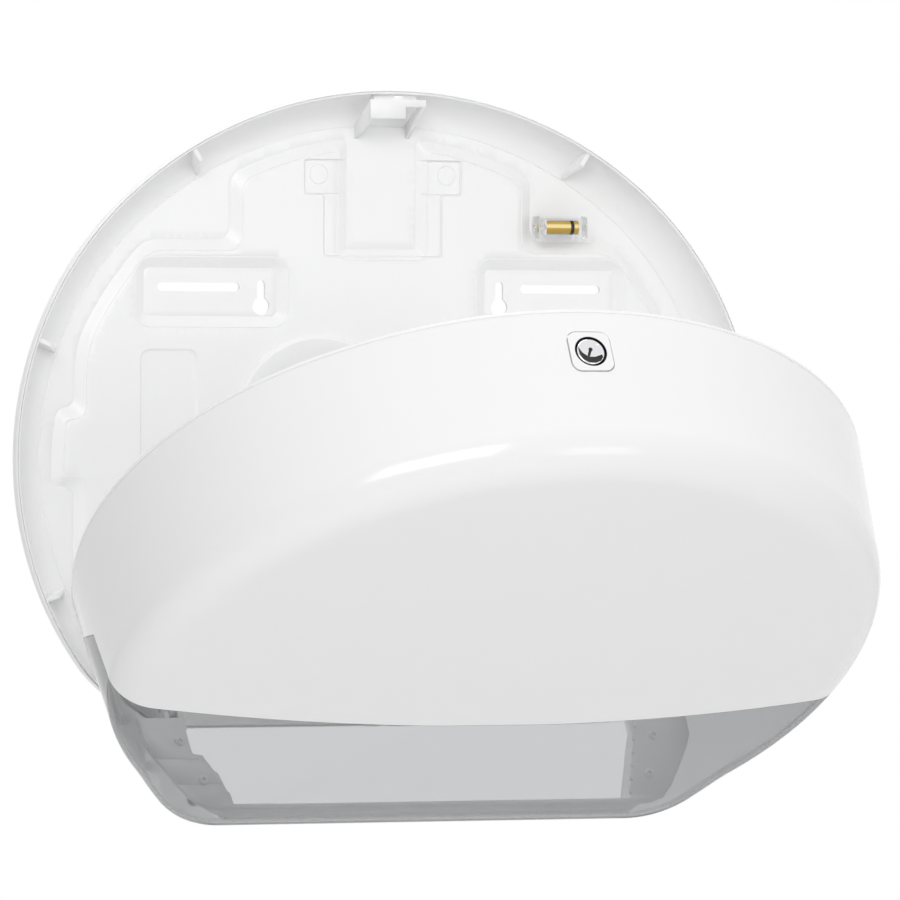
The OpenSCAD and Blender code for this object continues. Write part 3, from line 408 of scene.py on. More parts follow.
def ring_points(inset, depth, scale, foot_inset, foot_depth):
    """A ring of the cover's skin, drawn in and then scaled about the front's middle."""
    p = footed(inset, foot_inset)
    d = depth + foot_share()[:, 0] * (foot_depth - depth)
    return np.stack([p[:, 0] * scale, d, DOME_Z + (p[:, 1] - DOME_Z) * scale], axis=1)


def bands(first, second):
    """Quads between two rings, given as lists of as many point indices."""
    n = len(first)
    return [[first[j], first[(j + 1) % n], second[(j + 1) % n], second[j]] for j in range(n)]


# ------------------------------------------------------------------ back plate's floor
# The platform, from boxes across the centre line as (half width, foot, head, corner radius),
# blended one after the other, and kept inside a circle and clear of the floor's border; a
# channel cuts down into its top
PLATFORM_HIGH = (85.5, 34, 400, 5)
PLATFORM_WIDE = (175.5, 34, 273.5, 6)
PLATFORM_EARS = (189.5, 143.5, 180.5, 4)
PLATFORM_C = 140.0
PLATFORM_R = 191.0
PLATFORM_CLEAR = 0.6
CHANNEL = (23.6, 268.8, 400, 2)
WIDE_BLEND = 9.0
EARS_BLEND = 7.0
CIRCLE_BLEND = 6.0
CHANNEL_BLEND = 3.0
# A shallow recess below the striker, from boxes of the same form
TEE_BAR = (46.5, 302, 321.5, 1)
TEE_STEM = (35, 267.5, 303, 1)
# On either side a fixing pocket with a shallow panel below it, as (inner and outer x, foot,
# head, corner radius)
POCKET = (58.5, 142, 231.1, 264.1, 6)
PANEL = (108.7, 141, 117.5, 215.5, 5)
# A level slot and a keyhole in each pocket
SLOT_X = 107.0
SLOT_Z = 250.3
SLOT_L = 48.0
SLOT_W = 4.8
KEYHOLE_X = 70.5
KEYHOLE_R = 5.0
KEYHOLE_RUN = 12.0
NECK_R = SLOT_W / 2
ROUND_END = NECK_R - 0.01
# Widths of the steps' ramps
STEP_W = 5.6
RECESS_W = 0.6
PANEL_W = 1.4
# Fine grooves beside the steps, as (distance from the edge, half width, depth)
CREASE = (STEP_W / 2 + 0.4, 0.4, 0.32)
TEE_NICK = (-0.55, 0.45, 0.7)
PANEL_NICK = (-0.2, 0.5, 0.5)
# A ring pressed in on either side of the recess, with its groove in the same form
MARK_X = 37.7
MARK_Z = 313.2
MARK_GROOVE = (5.3, 0.4, 0.45)
MARK_LOOPS = (4.4, 4.9, 5.3, 5.7, 6.2)
# Round places where the plate is solid to the wall, as (x, height, radius)
PADS = ((0, SCREW_LINE, 14), (STUB_X, STUB_Z, 24), (SPINDLE_X, SPINDLE_Z, 47))
# The floor's mesh: the steps' lines are found on one grid and another fills the flats, and
# both keep off the border; points that fall in the same cell of MERGE are one
LINE_STEP = 2.0
LINE_CLEAR = 1.2
GRID_STEP = 5.0
GRID_CLEAR = 2.5
MERGE = 1 / 400
RIM_STEPS = 14


def sd_box(x, z, x0, x1, z0, z1, r):
    """Signed distance to a rounded box, below 0 inside it."""
    qx = np.abs(x - (x0 + x1) / 2) - ((x1 - x0) / 2 - r)
    qz = np.abs(z - (z0 + z1) / 2) - ((z1 - z0) / 2 - r)
    return np.hypot(np.maximum(qx, 0), np.maximum(qz, 0)) + np.minimum(np.maximum(qx, qz), 0) - r


def sd_middle(x, z, half_w, z0, z1, r):
    """Signed distance to a rounded box across the centre line."""
    return sd_box(x, z, -half_w, half_w, z0, z1, r)


def smooth_min(a, b, k):
    """The smaller of two distances, rounded over k where they meet."""
    return np.minimum(a, b) - np.maximum(k - np.abs(a - b), 0) ** 2 / (4 * k)


def smooth_max(a, b, k):
    return -smooth_min(-a, -b, k)


FLOOR_LINE = plate_line(FLOOR_IN)


def inside_floor(x, z):
    """Distance in from the edge of the plate's flat floor, which is convex."""
    way = np.roll(FLOOR_LINE, -1, axis=0) - FLOOR_LINE
    way /= np.hypot(way[:, 0], way[:, 1])[:, None]
    out = np.full(np.shape(x), 1e9)
    for (ax, az), (wx, wz) in zip(FLOOR_LINE, way):
        out = np.minimum(out, wz * (x - ax) - wx * (z - az))
    return out


def sd_platform(x, z):
    x = np.abs(x)
    shape = sd_middle(x, z, *PLATFORM_HIGH)
    shape = smooth_min(shape, sd_middle(x, z, *PLATFORM_WIDE), WIDE_BLEND)
    shape = smooth_min(shape, sd_middle(x, z, *PLATFORM_EARS), EARS_BLEND)
    shape = smooth_max(shape, np.hypot(x, z - PLATFORM_C) - PLATFORM_R, CIRCLE_BLEND)
    shape = np.maximum(shape, PLATFORM_CLEAR - inside_floor(x, z))
    return smooth_max(shape, -sd_middle(x, z, *CHANNEL), CHANNEL_BLEND)


def sd_pocket(x, z):
    return sd_box(np.abs(x), z, *POCKET)


def sd_tee(x, z):
    return np.minimum(sd_middle(x, z, *TEE_BAR), sd_middle(x, z, *TEE_STEM))


def sd_panel(x, z):
    return sd_box(np.abs(x), z, *PANEL)


def sd_slot(x, z):
    return sd_box(
        np.abs(x), z, SLOT_X - SLOT_L / 2, SLOT_X + SLOT_L / 2,
        SLOT_Z - SLOT_W / 2, SLOT_Z + SLOT_W / 2, ROUND_END)


def sd_keyhole(x, z):
    x = np.abs(x)
    round_end = np.hypot(x - KEYHOLE_X, z - SCREW_LINE) - KEYHOLE_R
    neck = sd_box(
        x, z, KEYHOLE_X - NECK_R, KEYHOLE_X + NECK_R,
        SCREW_LINE - 4, SCREW_LINE + KEYHOLE_RUN + NECK_R, ROUND_END)
    return np.minimum(round_end, neck)


def ramp(t):
    """0 to 1 with a straight middle and rounded ends."""
    soft = 0.16
    t = np.clip(t, 0, 1)
    low = t * t / (2 * soft * (1 - soft))
    high = 1 - (1 - t) ** 2 / (2 * soft * (1 - soft))
    mid = (t - soft / 2) / (1 - soft)
    return np.where(t < soft, low, np.where(t > 1 - soft, high, mid))


def groove(distance, at, half_w, depth):
    """Depth of a groove of V section along the line where distance is at."""
    return depth * np.clip(1 - np.abs(distance - at) / half_w, 0, 1)


def plate_height(x, z):
    """Depth of the floor's front face at (x, height z)."""
    platform = sd_platform(x, z)
    pocket = sd_pocket(x, z)
    tee = sd_tee(x, z)
    panel = sd_panel(x, z)
    raised = ramp(0.5 - platform / STEP_W)
    step = RISE * np.clip(raised - ramp(0.5 - pocket / STEP_W), 0, 1)
    sunk = ramp(0.5 - tee / RECESS_W) * raised + ramp(0.5 - panel / PANEL_W)
    mark = np.hypot(np.abs(x) - MARK_X, z - MARK_Z)
    lines = groove(mark, *MARK_GROOVE)
    lines += groove(tee, *TEE_NICK) * raised
    lines += groove(panel, *PANEL_NICK)
    # A crease along the head and the foot of each ramp
    for distance in (platform, pocket):
        lines += groove(np.abs(distance), *CREASE)
    return PLATE_T + step - sunk - lines


def contour(distance, level):
    """Segments of the line where distance(x, z) = level, by marching squares.

    The grid is shifted a little, so that no line runs just along it.
    """
    gx = np.arange(-214, 214 + LINE_STEP, LINE_STEP) + 0.113
    gz = np.arange(4, 350, LINE_STEP) + 0.171
    x, z = np.meshgrid(gx, gz)
    v = distance(x, z) - level
    inside = v < 0
    segments = []
    first = inside[:-1, :-1]
    rows, cols = np.nonzero(
        (first != inside[1:, :-1]) | (first != inside[:-1, 1:]) | (first != inside[1:, 1:]))
    for r, c in zip(rows, cols):
        corners = ((r, c), (r, c + 1), (r + 1, c + 1), (r + 1, c))
        hits = []
        for k in range(4):
            a, b = corners[k], corners[(k + 1) % 4]
            if inside[a] != inside[b]:
                t = v[a] / (v[a] - v[b])
                hits.append((x[a] + t * (x[b] - x[a]), z[a] + t * (z[b] - z[a])))
        if len(hits) == 2:
            segments.append(hits)
        elif len(hits) == 4:
            segments += [hits[0:2], hits[2:4]]
    return segments


def slot_loop(side):
    return rounded_rect(SLOT_L, SLOT_W, NECK_R - 0.001, 8, side * SLOT_X, SLOT_Z)


def keyhole_loop(side):
    """A round end with a narrow slot that runs up from its centre."""
    neck = math.degrees(math.acos(NECK_R / KEYHOLE_R))
    round_end = arc(side * KEYHOLE_X, SCREW_LINE, KEYHOLE_R, neck, -180 - neck, 24)
    return round_end + arc(side * KEYHOLE_X, SCREW_LINE + KEYHOLE_RUN, NECK_R, 180, 0, 9)


def floor_lines():
    """The floor's points, and the edges that its mesh has to keep: border, steps and holes."""
    n = len(FLOOR_LINE)
    points = [tuple(p) for p in FLOOR_LINE]
    edges = [(i, (i + 1) % n) for i in range(n)]
    seen = {}

    def add(p):
        key = (round(p[0] / MERGE), round(p[1] / MERGE))
        if key not in seen:
            seen[key] = len(points)
            points.append((float(p[0]), float(p[1])))
        return seen[key]

    def add_edge(a, b):
        i, j = add(a), add(b)
        if i != j:
            edges.append((i, j))

    def add_loop(shape):
        for a, b in zip(shape, shape[1:] + shape[:1]):
            add_edge(a, b)

    half = STEP_W / 2
    crease, crease_w, _ = CREASE
    upper = (half / 2, half, crease, crease + crease_w)
    levels = [-v for v in reversed(upper)] + [0, *upper]
    lines = [(sd_platform, v) for v in levels]
    lines += [(sd_pocket, v) for v in levels]
    lines += [(sd_panel, v) for v in (-PANEL_W / 2, 0, PANEL_W / 2)]
    lines += [(sd_tee, v) for v in (-1.4, -1, -0.55, -RECESS_W / 2, RECESS_W / 2, 0.8)]
    for distance, level in lines:
        for a, b in contour(distance, level):
            if inside_floor((a[0] + b[0]) / 2, (a[1] + b[1]) / 2) >= LINE_CLEAR:
                add_edge(a, b)
    for side in (-1, 1):
        add_loop(slot_loop(side))
        add_loop(keyhole_loop(side))
        for r in MARK_LOOPS:
            add_loop(circle(side * MARK_X, MARK_Z, r, 28))
    # A grid fills the flats
    columns = np.arange(-216, 217, GRID_STEP) + 0.31
    rows = np.arange(2, BODY_H, GRID_STEP) + 0.27
    gx, gz = np.meshgrid(columns, rows)
    keep = inside_floor(gx, gz) > GRID_CLEAR
    for p in zip(gx[keep], gz[keep]):
        add(p)
    return points, edges


def floor_mesh():
    """The floor's points, its triangles, and the indices of its border in order."""
    points, edges = floor_lines()
    out, _, tris, origin, _, _ = delaunay_2d_cdt([Vector(p) for p in points], edges, [], 0, 1e-5)
    xz = np.array([(p[0], p[1]) for p in out])
    tri = np.array([list(t) for t in tris])
    x, z = xz[tri].mean(axis=1).T
    hole = np.minimum(sd_slot(x, z), sd_keyhole(x, z)) < 0
    place = {}
    for i, sources in enumerate(origin):
        for s in sources:
            place[s] = i
    return xz, tri[~hole], [place[s] for s in range(len(FLOOR_LINE))]


def slope_point(angle):
    """Way in from the lip, and depth, on the slope: angle 90 is at the floor, 0 at the mouth."""
    a = math.radians(angle)
    return SLOPE_W * (1 - math.cos(a)), MOUTH_D - (MOUTH_D - PLATE_T) * math.sin(a)


def rim_profile():
    """(inset, depth) from a groove at the floor's edge up the slope, over the lip, which has
    a groove too, and back to the wall."""
    foot_d = PLATE_T - 0.55
    groove_d = RIM_D - 1.2
    profile = [(FLOOR_IN - 0.3, foot_d), (FLOOR_IN - 0.9, foot_d), (FLOOR_IN - 1.2, PLATE_T + 0.02)]
    for i in range(1, RIM_STEPS + 1):
        way, depth = slope_point(90 - 90 * i / RIM_STEPS)
        profile.append((LIP_W + way, depth))
    profile += [
        (LIP_W, RIM_D - 0.7), (LIP_W - 0.2, RIM_D - 0.2), (LIP_W - 0.6, RIM_D), (1.3, RIM_D),
        (1.2, groove_d), (0.75, groove_d), (0.65, RIM_D - 0.1), (0.2, RIM_D - 0.2),
        (0, RIM_D - 0.7)]
    for i in range(RIM_STEPS + 1):
        a = math.radians(90 * i / RIM_STEPS)
        profile.append(((FLOOR_IN - PLATE_T) * (1 - math.cos(a)), MOUTH_D * (1 - math.sin(a))))
    return profile


def plate_skin():
    """The plate's floor and rim as one closed skin."""
    xz, tri, border = floor_mesh()
    front = plate_height(xz[:, 0], xz[:, 1])
    front[border] = PLATE_T
    back = np.maximum(front - PLATE_T, 0)
    for x, z, r in PADS:
        back[np.hypot(xz[:, 0] - x, xz[:, 1] - z) < r] = 0
    m = len(xz)
    verts = [(p[0], f, p[1]) for p, f in zip(xz, front)]
    verts += [(p[0], b, p[1]) for p, b in zip(xz, back)]
    faces = [list(t) for t in tri] + [[t[2] + m, t[1] + m, t[0] + m] for t in tri]
    # Walls of the slots and keyholes: edges of one triangle alone, off the border
    sides = {(t[k], t[(k + 1) % 3]) for t in tri.tolist() for k in range(3)}
    outside = set(border)
    for a, b in sorted(sides):
        if (b, a) not in sides and not (a in outside and b in outside):
            faces.append([b, a, a + m, b + m])
    last = border
    for inset, depth in rim_profile():
        base = len(verts)
        verts += [(p[0], depth, p[1]) for p in plate_line(inset)]
        ring = list(range(base, len(verts)))
        faces += bands(last, ring)
        last = ring
    faces += bands(last, [i + m for i in border])
    return solid("plate_skin", (verts, faces), 40)


# ------------------------------------------------------------------ back plate's fittings
# Ribs on the slope, in these directions from the platform's centre
RIB_ANGLES = (58, 21.5, -17)
RIB_L = 17.0
RIB_HALF_T = 1.2
RIB_TOP_D = 21.8
RIB_STEPS = 8
# The lock's striker
STRIKER_TOP = BODY_H - 5.5
STRIKER_HALF_W = 16.25
STRIKER_REAR_D = 27.0
STRIKER_FRONT_D = 29.5
NOTCH_X = 4.25
CHEEK_T = 2.0
# Hinge arms, which fall at ARM_ANGLE; they leave 2 * EYE_GAP of the eye's circle open
ARM_X0 = 136.0
ARM_X1 = 140.0
ARM_ANGLE = 34.0
ARM_NARROW_D = 16.0
ARM_HALF_H = 8.0
EYE_R = 6.5
EYE_GAP = 38.0


def rim_reach(angle):
    """Distance from the platform's centre out to the rim's inside."""
    high = angle > TOP_END
    cx, cz = (0.0, TOP_Z) if high else (SIDE_X, SIDE_Z)
    r = TOP_R if high else SIDE_R
    a = math.radians(angle)
    wx = cx
    wz = cz - PLATFORM_C
    along = wx * math.cos(a) + wz * math.sin(a)
    return along + math.sqrt(along * along - (wx * wx + wz * wz - r * r)) - LIP_W


def rim_rib(angle):
    """A rib that fills the slope in the direction angle from the platform's centre."""
    rim = rim_reach(angle)
    shape = [(rim - RIB_L, PLATE_T - 0.6)]
    for i in range(RIB_STEPS + 1):
        way, depth = slope_point(90 - 90 * i / RIB_STEPS)
        shape.append((rim - way + 0.9, depth - 0.5))
    shape += [(rim + 0.8, RIB_TOP_D), (rim - 7.7, RIB_TOP_D)]
    c = math.cos(math.radians(angle))
    s = math.sin(math.radians(angle))

    def place(u, v, w):
        return (u * c - w * s, v, PLATFORM_C + u * s + w * c)
    return prism(shape, -RIB_HALF_T, RIB_HALF_T, place)


def striker_parts():
    """A face with a notch beside it, a web, a bridge to the rim, two cheeks and a prong."""
    top = STRIKER_TOP
    half_w = STRIKER_HALF_W
    face = [
        (-half_w, top), (-half_w, top - 10.5), (NOTCH_X, top - 10.5), (NOTCH_X, top - 4),
        (half_w, top - 4), (half_w, top)]
    prong = [
        (27.5, top - 0.5), (29.3, top - 0.5), (29.3, top + 1.2), (28.6, top + 1.8),
        (27.5, top + 1.2)]
    web = block(-7.75, 15.1, 9.6, STRIKER_REAR_D + 0.2, top - 2.5, top - 0.3)
    bridge = block(-11, 14, 15.5, 20, top - 1.5, BODY_H - 2)
    parts = [prism(face, STRIKER_REAR_D, STRIKER_FRONT_D, from_front), web, bridge]
    for x, height in ((-16.1, 10.3), (14.0, 3.8)):
        cheek = [(29.2, top - 0.2), (29.2, top - height), (2, top - 21.5), (2, top - 13.5)]
        parts.append(prism(cheek, x, x + CHEEK_T, from_side))
    parts.append(prism(prong, -2.2, 3, from_side))
    return parts


def hinge_arm():
    """An arm that falls from the platform to an eye round the hinge line."""
    fall = math.tan(math.radians(ARM_ANGLE))
    foot_d = PLATE_T + RISE
    foot_z = HINGE_Z + (HINGE_D - foot_d) * fall
    foot_h = ARM_HALF_H / math.cos(math.radians(ARM_ANGLE))
    narrow_z = foot_z - ARM_NARROW_D * fall
    back = 180 - ARM_ANGLE
    shape = arc(HINGE_D, HINGE_Z, EYE_R, back + EYE_GAP, back - EYE_GAP + 360, 32)
    shape += [
        (foot_d + ARM_NARROW_D, narrow_z + 4), (foot_d - 0.5, foot_z + foot_h),
        (foot_d - 0.5, foot_z - foot_h), (foot_d + ARM_NARROW_D, narrow_z - 4.9)]
    return prism(shape, ARM_X0, ARM_X1, from_side)


def plate_fittings():
    """The ribs, the striker and the hinge arms as one piece with rounded edges."""
    parts = []
    for angle in RIB_ANGLES:
        parts += both_sides(rim_rib(angle))
    parts += striker_parts()
    parts += both_sides(hinge_arm())
    obj = solid("plate_fittings", joined(parts))
    bevel(obj, 0.45, 50)
    return obj


# ------------------------------------------------------------------ cover
# Depths of the rings up the walls, and the domed front's rings as shares of its size
WALL_DEPTHS = (27.2, 30, 34, 40, 50, 60, 70, 80, 87, 91.5)
DOME_SHARES = (0.97, 0.93, 0.88, 0.82, 0.75, 0.67, 0.58, 0.48, 0.38, 0.28, 0.18, 0.08)
FILLET_STEPS = 18
# Rings of the cover's rim, as (inset, depth): its outside has a fine groove
OUTER_RIM = (
    (0.35, COVER_RIM_D), (0.08, 24.75), (0.0, 25.2), (0.1, 26.4), (0.55, 26.55), (0.55, 26.85),
    (0.2, 27.0))
INNER_RIM = ((COVER_T - 0.3, COVER_RIM_D), (COVER_T, 24.9))
# Where the white shell ends and the window starts, seen from the side: it climbs from the rim
# to a tip, and rises slowly from there to the front
TIP_D = 67.0
TIP_Z = 122.0
EDGE_Z = 129.0
FOOT_Z = 52.0
PAST = 30.0
# A block is cut away at the back of the cover's foot, and a seam parts the shell and the
# window, in which four bosses take the frame's screws
FOOT_CUT = (-230, 230, -5, 34, -5, 26)
SEAM = 0.2
BOSSES = ((138.5, 73), (130, 98))
BOSS_R = 3.5
BOSS_Z = 6.6


def dome_depth(t, share, from_d, r):
    """Depth of the front at a share of its size, where its edge is rounded from from_d by r."""
    edge_d = from_d + (r - t) * math.sin(math.radians(FILLET_END))
    return BODY_D - t - (BODY_D - t - edge_d) * share * share


def cover_rings(t):
    """Rings of the skin that lies t inside the cover's outer face, out to the front."""
    rings = []
    for d in WALL_DEPTHS:
        share = (d - COVER_RIM_D) / (FILLET_D - COVER_RIM_D)
        foot_d = COVER_RIM_D + share * (FOOT_FILLET_D - COVER_RIM_D)
        rings.append((t + DRAFT * share, d, 1.0, t + FOOT_DRAFT * share, foot_d))
    for i in range(FILLET_STEPS + 1):
        a = math.radians(FILLET_END * i / FILLET_STEPS)
        inset = FILLET_IN - (FRONT_R - t) * math.cos(a)
        foot_inset = FOOT_DRAFT + FOOT_R - (FOOT_R - t) * math.cos(a)
        depth = FILLET_D + (FRONT_R - t) * math.sin(a)
        rings.append((inset, depth, 1.0, foot_inset, FOOT_FILLET_D + (FOOT_R - t) * math.sin(a)))
    for share in DOME_SHARES:
        depth = dome_depth(t, share, FILLET_D, FRONT_R)
        foot_d = dome_depth(t, share, FOOT_FILLET_D, FOOT_R)
        rings.append((inset, depth, share, foot_inset, foot_d))
    return rings


def cover_solid():
    """The whole cover, shut, as one closed skin of even thickness."""
    verts = []
    faces = []

    def add_side(rim, t):
        """One side of the skin from its rim to its middle; returns its first ring."""
        rings = [(inset, d, 1.0, inset, d) for inset, d in rim] + cover_rings(t)
        ids = []
        for ring in rings:
            base = len(verts)
            verts.extend(ring_points(*ring))
            ids.append(list(range(base, len(verts))))
        for first, second in zip(ids, ids[1:]):
            faces.extend(bands(first, second))
        end = ids[-1]
        tip = len(verts)
        verts.append((0, rings[-1][1] + 0.05, DOME_Z))
        faces.extend([[a, b, tip] for a, b in zip(end, end[1:] + end[:1])])
        return ids[0]

    outer = add_side(OUTER_RIM, 0)
    inner = add_side(INNER_RIM, COVER_T)
    faces.extend(bands(inner, outer))
    return solid("cover_skin", (verts, faces), 40)


def window_prism(grow):
    """The space that the window takes of the cover, grown."""
    lean = (TIP_Z - FOOT_Z) / (TIP_D - COVER_RIM_D)
    front_d = BODY_D + PAST
    front_z = EDGE_Z + PAST * (EDGE_Z - TIP_Z) / (BODY_D - TIP_D)
    shape = [
        (TIP_D - grow, TIP_Z + grow), (front_d, front_z + grow), (front_d, -PAST),
        (-PAST, -PAST), (-PAST, FOOT_Z - lean * (COVER_RIM_D + PAST + grow))]
    return solid("window_prism", prism(shape, -260, 260, from_side))


def outlet_prism():
    """The outlet, a little wider than the frame's opening and shorter at the front."""
    grow = 2.4
    short = 9
    rear_x = OUTLET_REAR_X + grow
    front_x = OUTLET_FRONT_X + grow
    front_d = OUTLET_FRONT_D + grow - short
    half = [(rear_x, 0), (rear_x, OUTLET_REAR_D), (front_x, front_d)]
    shape = [(-x, d) for x, d in half] + list(reversed(half))
    return solid("outlet_prism", prism(shape, -5, 10, from_above))


def cover_pieces():
    """The white shell and the smoke window, cut from the same skin."""
    shell = cover_solid()
    window = shell.copy()
    window.data = shell.data.copy()
    window.name = "window_skin"
    bpy.context.scene.collection.objects.link(window)
    boolean(shell, window_prism(SEAM), "DIFFERENCE")
    boolean(shell, solid("foot_cut", block(*FOOT_CUT)), "DIFFERENCE")
    boolean(shell, solid("lock_hole", lock_opening()), "DIFFERENCE")
    boolean(window, window_prism(0), "INTERSECT")
    for x, d in BOSSES:
        for side in (-1, 1):
            boss = prism(circle(side * x, d, BOSS_R, 32), BOSS_Z, FRAME_Z - 0.05, from_above)
            boolean(window, solid("boss", boss), "UNION")
    boolean(window, solid("foot_cut", block(*FOOT_CUT)), "DIFFERENCE")
    boolean(window, outlet_prism(), "DIFFERENCE")
    for piece in (shell, window):
        tidy_mesh(piece)
        open_up(piece)
    return shell, window


# ------------------------------------------------------------------ outlet frame
FLAT_T = 2.5
TOOTH_COUNT = 6
TOOTH_PITCH = 8.6
# A hinge ear on either side of each arm, and a stop between them
EAR_T = 3.0
EAR_XS = (132.6, 140.4)
STOP_X0 = 135.5
STOP_X1 = 140.5
SKIRT_LOW = 14.0
SKIRT_HIGH = 25.0


def frame_flat():
    """The flat round three sides of the outlet, with tear teeth along its right side."""
    outer = [
        (161, 57.2), (160.6, 72), (156, 82), (149, 94), (142, 105), (136, 112), (128, 115.2),
        (112, 116)]
    left = [
        (-133, 57.2), (-133.4, 70), (-132.4, 80.6), (-127, 81.6), (-124.6, 87), (-122, 92),
        (-120.4, 92.8), (-118.8, 99), (-117.4, 104.6), (-116, 106), (-115.2, OUTLET_FRONT_D)]
    right = [(OUTLET_REAR_X - 0.4, 57.2)]
    lean = (OUTLET_REAR_X - OUTLET_FRONT_X) / (OUTLET_FRONT_D - OUTLET_REAR_D)
    for i in range(TOOTH_COUNT):
        d = 59.5 + TOOTH_PITCH * i
        x = OUTLET_REAR_X - (d - OUTLET_REAR_D) * lean
        right += [(x - 0.4, d), (x - 2.8, d + 5.8), (x - 2.9, d + 6.8), (x - 1.2, d + 7.6)]
    right.append((OUTLET_FRONT_X, OUTLET_FRONT_D))
    shape = outer + [(-x, d) for x, d in reversed(outer)] + left + list(reversed(right))
    return prism(shape, FRAME_Z, FRAME_Z + FLAT_T, from_above)


def frame_steps():
    """Two low steps across the flat's left arm."""
    rear = [(-159.9, 58), (-134, 58), (-133, 80), (-129.5, 84.2), (-154, 84.2), (-159.5, 72)]
    front = [
        (-155, 82.5), (-128, 84), (-122.6, 93.5), (-119.6, 100.2), (-144.2, 100.2),
        (-148.4, 94)]
    base = FRAME_Z + FLAT_T - 0.5
    return [prism(rear, base, 27.7, from_above), prism(front, base, 27.35, from_above)]


def frame_skirt():
    """The lip that hangs from the outlet's front edge, carried round its corners."""
    corner_x = OUTLET_FRONT_X
    end_x = OUTLET_FRONT_X + 14
    d = OUTLET_FRONT_D
    half = [(corner_x, d + 0.4), (end_x, d - 9), (end_x, d - 6.6), (corner_x + 0.6, d + 2.4)]
    shape = half + [(-x, y) for x, y in reversed(half)]
    return prism(shape, SKIRT_LOW, SKIRT_HIGH, from_above)


def hinge_ears():
    """The ears that carry the hinge pins, and the stops that meet the arms."""
    ear = [(65, 27), (52.6, 25.5)]
    ear += arc(HINGE_D, HINGE_Z, EAR_R, 46, 172, 14)
    ear += [(38.2, 14.6), (38.2, 12.8), (65, 12.8)]
    bar = [(5.5, 4.2), (11, 4.2), (11, 7.2), (5.5, 7.2)]
    stop = spun(bar, 180 - ARM_ANGLE + OPEN, HINGE_D, HINGE_Z)
    parts = []
    for x in EAR_XS:
        parts += both_sides(prism(ear, x, x + EAR_T, from_side))
    return parts + both_sides(prism(stop, STOP_X0, STOP_X1, from_side))


def frame_skin():
    """The frame round the outlet."""
    parts = [frame_flat(), *frame_steps(), frame_skirt(), *hinge_ears()]
    obj = solid("frame_skin", joined(parts))
    open_up(obj)
    bevel(obj, 0.35, 45)
    return obj


# ------------------------------------------------------------------ lock
LOCK_D = 50.2
LOCK_Z = BODY_H - DRAFT * (LOCK_D - COVER_RIM_D) / (FILLET_D - COVER_RIM_D)
LOCK_TILT = math.atan(DRAFT / (FILLET_D - COVER_RIM_D))
LOCK_W = 24.3
LOCK_CORNER_R = 5.6
# How far the tail and the keyway are turned at rest
LOCKED = 23.0
PLUG_L = 17.0
TAIL_W = 7.0
CAM_T = 3.0
# A black ring of painted shade in the gap round the plug, and how deep the black sheets of painted
# shade lie in its face
SHADE_RING_R = 8.62
SHADE_RING_W = 0.21
SHADE_RING_LOW = -2.0
SHADE_RING_HIGH = 0.22
SHADE_SHEET_LOW = -1.6
SHADE_SHEET_HIGH = -1.25
CUT_LOW = -1.4


def on_lock(part):
    """A part in the lock's own frame, which is (to the right, towards the wall, out of the
    cover's top), set on the shut cover."""
    c = math.cos(LOCK_TILT)
    s = math.sin(LOCK_TILT)
    points, faces = part
    return [(x, LOCK_D - (y * c - z * s), LOCK_Z + y * s + z * c) for x, y, z in points], faces


def lock_opening():
    """The square hole for the lock in the cover's top."""
    return on_lock(prism(rounded_rect(LOCK_W, LOCK_W, LOCK_CORNER_R), -20, 20, from_above))


def lock_pieces():
    """The plug with a dished bright face, its keyway and hollows, and black pieces of painted
    shade: a ring round it and a sheet low in each cut.
    """
    face = [
        (0, -0.9), (2, -0.85), (4, -0.62), (5.6, -0.3), (6.4, 0), (6.8, 0.14), (7.15, 0.14),
        (7.4, 0), (7.6, -0.3), (8.5, -1.9), (8.5, -3), (8.8, -3), (8.8, -PLUG_L), (0, -PLUG_L)]
    tail = spun(rounded_rect(TAIL_W, TAIL_W, 0.3, 2), -LOCKED)
    tail = prism(tail, -PLUG_L - CAM_T, -PLUG_L + 0.4, from_above)
    plug = solid("plug_face", on_lock(joined([turned(face), tail])))
    hollow = [
        (-6.7, 3.0), (-4.3, -0.4), (-1.3, -2.6), (2.2, -2.7), (6.0, -1.6), (6.2, -3.4),
        (4.6, -5.6), (1.6, -6.8), (-2.2, -6.6), (-5.0, -4.8), (-6.6, -1.6)]
    keyway = spun(rounded_rect(1.5, 5.0, 0.7, 5), -LOCKED, -0.4, -0.2)
    pin = circle(0.5, 1.8, 1.15, 24)
    # Painted shade: a black ring fills the gap round the plug, and a black sheet lies low in each
    # cut of its face
    edge = SHADE_RING_R + SHADE_RING_W
    dark = [turned([
        (SHADE_RING_R, SHADE_RING_LOW), (SHADE_RING_R, SHADE_RING_HIGH), (edge, SHADE_RING_HIGH), (edge, SHADE_RING_LOW),
        (SHADE_RING_R, SHADE_RING_LOW)])]
    for shape in (hollow, keyway, pin):
        cut = solid("cut", on_lock(prism(shape, CUT_LOW, 3, from_above)))
        boolean(plug, cut, "DIFFERENCE")
        dark.append(prism(shape, SHADE_SHEET_LOW, SHADE_SHEET_HIGH, from_above))
    ring = solid("plug_painted_shade", on_lock(joined(dark)))
    for piece in (plug, ring):
        tidy_mesh(piece)
        open_up(piece)
    return plug, ring


# ------------------------------------------------------------------ materials
CLOUD_TINT = 0.015
CLOUD_GLOSS = 0.15


def material(name, colour, roughness, **sockets):
    """A material with its tree and its shader; sockets are other inputs of the shader."""
    mat = bpy.data.materials.new(name)
    mat.use_nodes = True
    bsdf = mat.node_tree.nodes["Principled BSDF"]
    bsdf.inputs["Base Color"].default_value = (*colour, 1)
    bsdf.inputs["Roughness"].default_value = roughness
    for key, value in sockets.items():
        bsdf.inputs[key.replace("_", " ")].default_value = value
    return mat, mat.node_tree, bsdf


def add_node(tree, kind, **values):
    """A node, with the values of its named inputs."""
    node = tree.nodes.new("ShaderNode" + kind)
    for key, value in values.items():
        node.inputs[key.replace("_", " ")].default_value = value
    return node


